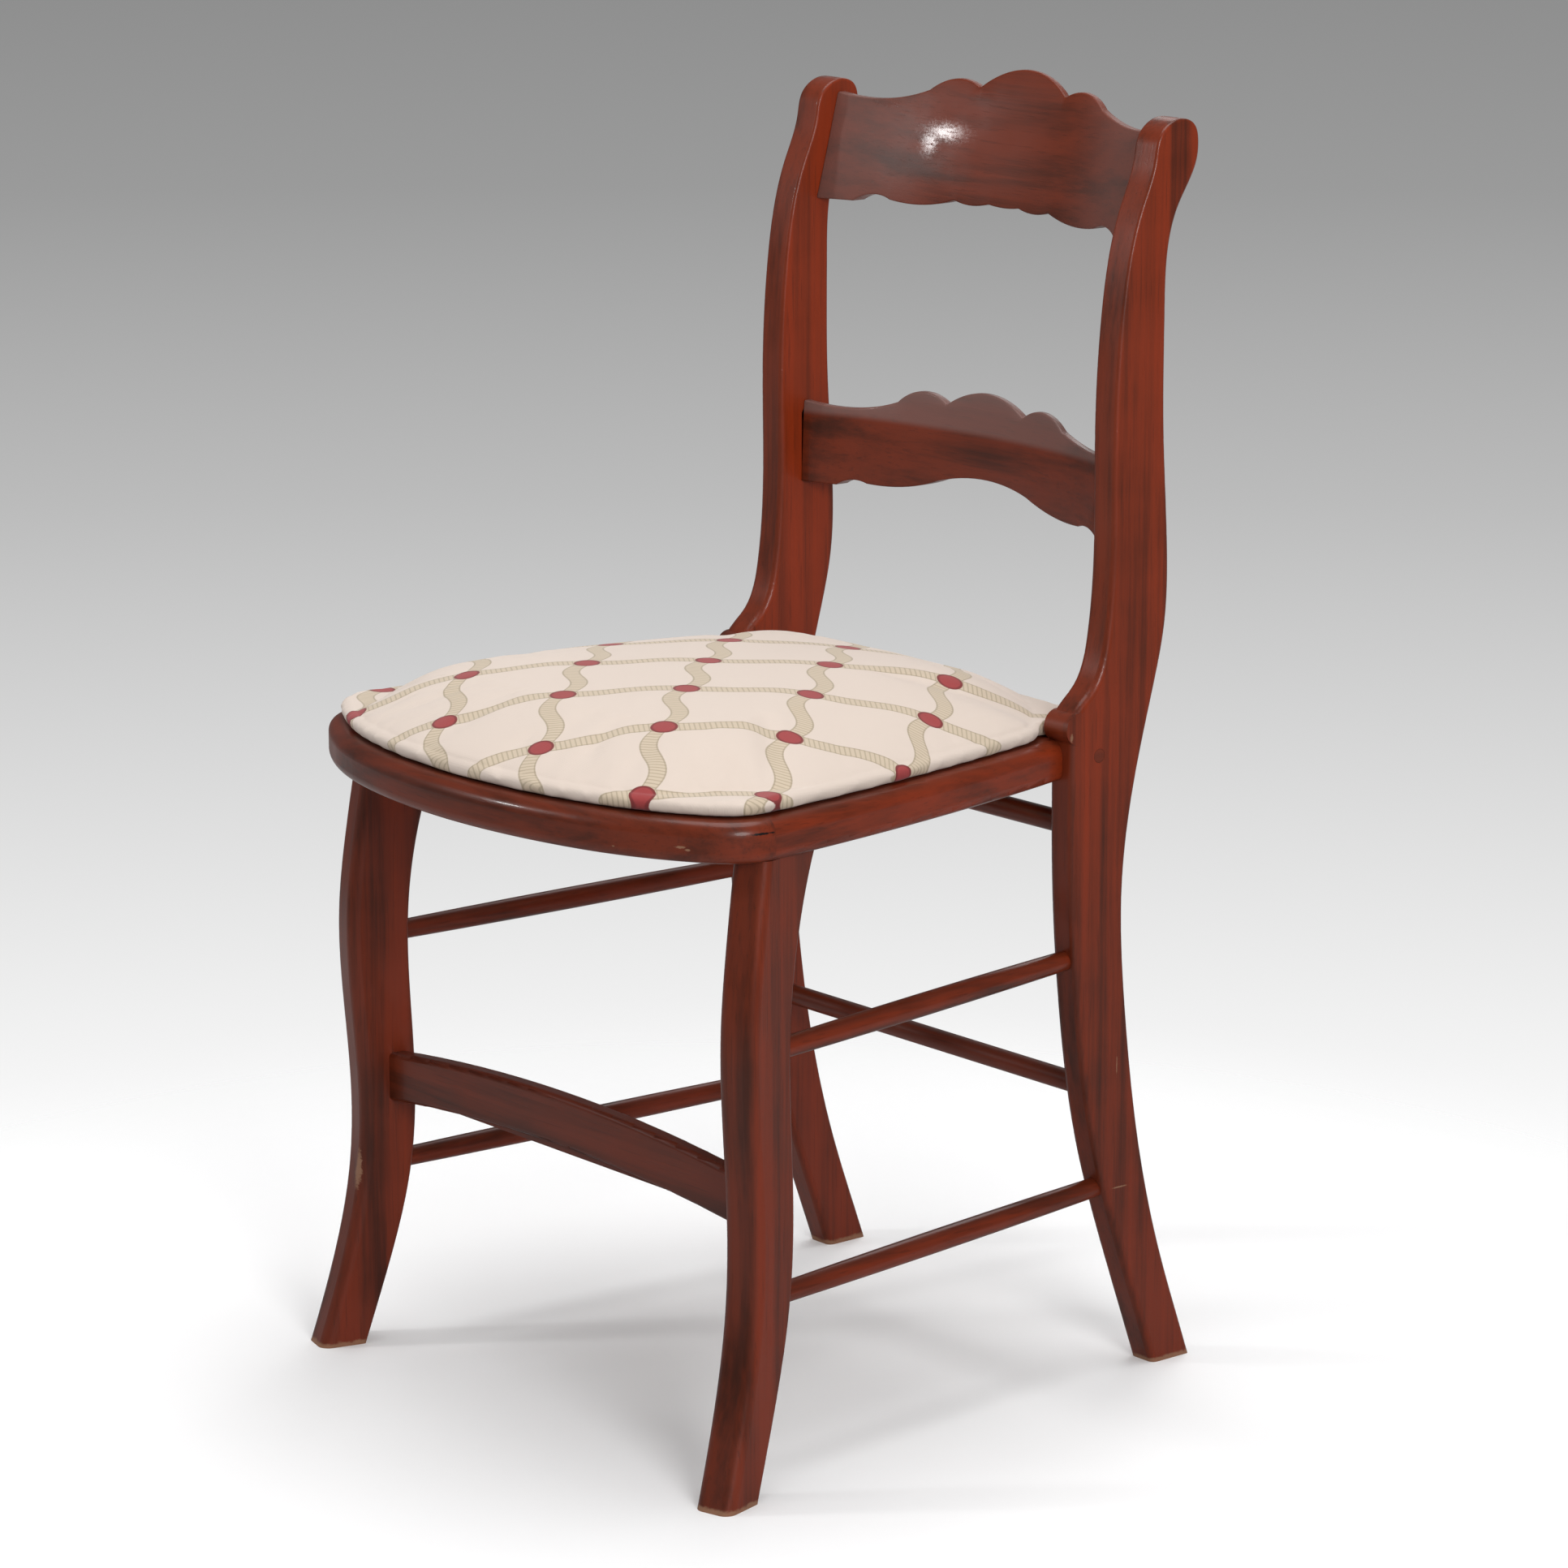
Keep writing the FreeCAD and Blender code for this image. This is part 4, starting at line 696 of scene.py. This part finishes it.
class CHAIR_OT_seat(bpy.types.Operator):
    """Crowned seat cushion, filled by cloth simulation and covered in printed cotton"""
    bl_idname = "chair.seat"
    bl_label = "Upholster the seat"

    def execute(self, context):
        cover = copy_of("seat_cover", "seat_cushion")
        others = [copy_of(node, node + "_part") for node in ("seat_pad", "seat_board")]
        alone(cover)
        for other in others:
            other.select_set(True)
        bpy.ops.object.join()
        finish_modifier(cover, "REMESH", mode="VOXEL", voxel_size=VOXEL)
        low = coordinates(cover).min(0)
        high = coordinates(cover).max(0)
        self.fill(context, cover)
        finish_modifier(cover, "SUBSURF", levels=1, render_levels=1)
        self.slope_corners(cover)
        self.seat_on_frame(cover, low, high)
        self.lay_cloth(cover)
        alone(cover)
        bpy.ops.object.shade_smooth()
        give_place(cover, printed_cotton())
        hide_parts("seat_cover", "seat_pad")
        return {"FINISHED"}

    def fill(self, context, cover):
        """Padding pressed out against its cover, with the foot held down on the frame."""
        rest = coordinates(cover)
        held = cover.vertex_groups.new(name="held")
        held.add(np.flatnonzero(rest[:, 2] < FRAME_TOP + HELD_HEIGHT).tolist(), 1.0, "REPLACE")
        alone(cover)
        cloth = cover.modifiers.new("cloth", "CLOTH")
        cloth.settings.use_pressure = True
        cloth.settings.uniform_pressure_force = PRESSURE
        cloth.settings.vertex_group_mass = "held"
        cloth.settings.effector_weights.gravity = 0.0
        cloth.settings.quality = 5
        cloth.collision_settings.use_collision = False
        for number in range(1, LAST_FRAME + 1):
            context.scene.frame_set(number)
        bpy.ops.object.modifier_apply(modifier=cloth.name)
        context.scene.frame_set(1)
        cover.vertex_groups.clear()
        moved = coordinates(cover) - rest
        length = np.maximum(np.linalg.norm(moved, axis=1, keepdims=True), TINY)
        swell = context.scene.chair_seat.swell
        move_to(cover, rest + moved * np.minimum(1.0, swell / length))

    def slope_corners(self, cover):
        """Crown that falls away to a low hem near the seat's corners, and a seam over the hem."""
        places = coordinates(cover)
        height = places[:, 2] - FRAME_TOP
        reach = np.full(len(places), np.inf)
        for across, along in SEAT_CORNERS:
            reach = np.minimum(reach, np.hypot(np.abs(places[:, 0]) - across, places[:, 1] - along))
        way = np.clip((reach - CORNER_NEAR) / (CORNER_FAR - CORNER_NEAR), 0, 1)
        share = CROWN_SHARE * (1 - (1 - way) ** 2)
        places[:, 2] = FRAME_TOP + np.maximum(np.minimum(height, HEM), height * share)
        seam = SEAM_DEPTH * np.exp(-((places[:, 2] - FRAME_TOP - HEM) / SEAM_HALF) ** 2)
        away = np.linalg.norm(places[:, :2], axis=1)
        places[:, :2] *= (1 - np.where(away > SEAM_REACH, seam / away, 0))[:, None]
        move_to(cover, places)

    def seat_on_frame(self, cover, low, high):
        """Flat foot on the frame, and sides that swell by no more than the room beside them."""
        places = coordinates(cover)
        places[:, 2] = np.maximum(places[:, 2], FRAME_TOP + FOOT_GAP)
        places[:, :2] = np.clip(places[:, :2], low[:2] - SIDE_ROOM, high[:2] + SIDE_ROOM)
        move_to(cover, places)

    def lay_cloth(self, cover):
        """Flat coordinates of the cloth: its distance from the seat's middle, measured over the crown."""
        places = coordinates(cover)
        middle = np.array([0.0, (places[:, 1].min() + places[:, 1].max()) / 2])
        away = places[:, :2] - middle
        radius = np.maximum(np.linalg.norm(away, axis=1), TINY)
        drop = places[:, 2].max() - places[:, 2]
        stretch = np.hypot(radius, DROP_STRETCH * drop) / radius
        flat = away * stretch[:, None]
        layer = cover.data.uv_layers.new(name="Cloth")
        loops = np.empty(len(cover.data.loops), int)
        cover.data.loops.foreach_get("vertex_index", loops)
        layer.data.foreach_set("uv", flat[loops].ravel())


class CHAIR_OT_stage(bpy.types.Operator):
    """Floor, backdrop, soft lamps and the camera"""
    bl_idname = "chair.stage"
    bl_label = "Set the stage"

    def execute(self, context):
        scene = context.scene
        settings = scene.chair_stage
        scene.view_settings.view_transform = "Standard"
        bpy.ops.object.select_all(action="DESELECT")
        bpy.ops.mesh.primitive_circle_add(vertices=96, radius=FLOOR_RADIUS, fill_type="TRIFAN")
        floor = context.object
        floor.name = "floor"
        floor.data.materials.append(self.floor_paint())
        scene.world = self.backdrop(settings)
        for name, place, width, share in LAMPS:
            self.lamp(name, place, width, settings.lamp_power * share)
        self.camera(scene)
        return {"FINISHED"}

    def floor_paint(self):
        """White floor that keeps the chair's shadow and fades into the backdrop round its edge."""
        made, tree, shader = material("floor_paint")
        place = put(tree, "TexCoord").outputs["Object"]
        away = put(tree, "VectorMath", {0: place}, operation="LENGTH").outputs["Value"]
        glossy = put(tree, "LightPath").outputs["Is Glossy Ray"]
        white = opaque([FLOOR_WHITE] * 3)
        reflected = opaque([FLOOR_REFLECTED] * 3)
        feed(tree, shader, {"Base Color": blend(tree, glossy, white, reflected), "Roughness": 1.0,
                            "Specular IOR Level": 0.0, "Alpha": ramp(tree, away, FADE_END, FADE_START)})
        return made

    def backdrop(self, settings):
        """Grey at the top of the view and white at its foot, and an even light on the chair."""
        world = bpy.data.worlds.new("backdrop")
        world.use_nodes = True
        tree = world.node_tree
        background = tree.nodes["Background"]
        view = put(tree, "SeparateXYZ", {0: put(tree, "TexCoord").outputs["Generated"]}).outputs["Z"]
        rise = put(tree, "MapRange", {"Value": view, "From Min": math.sin(math.radians(VIEW_LOW)),
                                      "From Max": math.sin(math.radians(VIEW_HIGH))})
        grey = put(tree, "ValToRGB", {0: rise.outputs["Result"]})
        greys = BACKDROP_GREYS + ((1.0, settings.top_grey),)
        stops = grey.color_ramp.elements
        while len(stops) < len(greys):
            stops.new(0.5)
        for stop, (position, level) in zip(stops, greys):
            stop.position = position
            stop.color = opaque([level] * 3)
        path = put(tree, "LightPath")
        glossy = path.outputs["Is Glossy Ray"]
        reflected = calc(tree, "MULTIPLY", glossy, BACKDROP_REFLECTED)
        seen = calc(tree, "MAXIMUM", path.outputs["Is Camera Ray"], reflected)
        ambient = blend(tree, glossy, opaque(AMBIENT), (0, 0, 0, 1))
        colour = blend(tree, seen, ambient, grey.outputs[0])
        feed(tree, background, {"Color": colour, "Strength": 1.0})
        return world

    def lamp(self, name, place, width, power):
        data = bpy.data.lights.new(name, "AREA")
        data.shape = "DISK"
        data.size = width
        data.energy = power
        lamp = bpy.data.objects.new(name, data)
        bpy.context.scene.collection.objects.link(lamp)
        lamp.location = place
        lamp.rotation_euler = (Vector(LAMP_AIM) - Vector(place)).to_track_quat("-Z", "Y").to_euler()

    def camera(self, scene):
        azimuth = math.radians(CAMERA_AZIMUTH)
        rise = math.radians(CAMERA_RISE)
        level = Vector((math.sin(azimuth), -math.cos(azimuth), 0.0))
        back = level * math.cos(rise) + Vector((0.0, 0.0, math.sin(rise)))
        data = bpy.data.cameras.new("camera")
        data.sensor_width = SENSOR_WIDTH
        data.lens = LENS
        camera = bpy.data.objects.new("camera", data)
        scene.collection.objects.link(camera)
        camera.location = Vector(CAMERA_AIM) + back * CAMERA_DISTANCE
        camera.rotation_euler = (-back).to_track_quat("-Z", "Y").to_euler()
        scene.camera = camera


class CHAIR_PT_panel(bpy.types.Panel):
    """The chair's steps and settings in the sidebar"""
    bl_idname = "CHAIR_PT_panel"
    bl_label = "Side chair"
    bl_space_type = "VIEW_3D"
    bl_region_type = "UI"
    bl_category = "Side chair"

    def draw(self, context):
        for step in STEPS:
            self.layout.operator(step.bl_idname)
        for name, group in GROUPS:
            for member in group.__annotations__:
                self.layout.prop(getattr(context.scene, name), member)


STEPS = (CHAIR_OT_frame, CHAIR_OT_back_rails, CHAIR_OT_seat, CHAIR_OT_stage)
GROUPS = (("chair_varnish", VarnishColours), ("chair_seat", SeatSettings), ("chair_rails", RailSettings),
          ("chair_stage", StageSettings))


def register():
    for name, group in GROUPS:
        bpy.utils.register_class(group)
        setattr(bpy.types.Scene, name, bpy.props.PointerProperty(type=group))
    for step in STEPS:
        bpy.utils.register_class(step)
    bpy.utils.register_class(CHAIR_PT_panel)


def unregister():
    bpy.utils.unregister_class(CHAIR_PT_panel)
    for step in reversed(STEPS):
        bpy.utils.unregister_class(step)
    for name, group in reversed(GROUPS):
        delattr(bpy.types.Scene, name)
        bpy.utils.unregister_class(group)


def main():
    register()
    bpy.ops.chair.frame()
    bpy.ops.chair.back_rails()
    bpy.ops.chair.seat()
    bpy.ops.chair.stage()


if __name__ == "__main__":
    main()
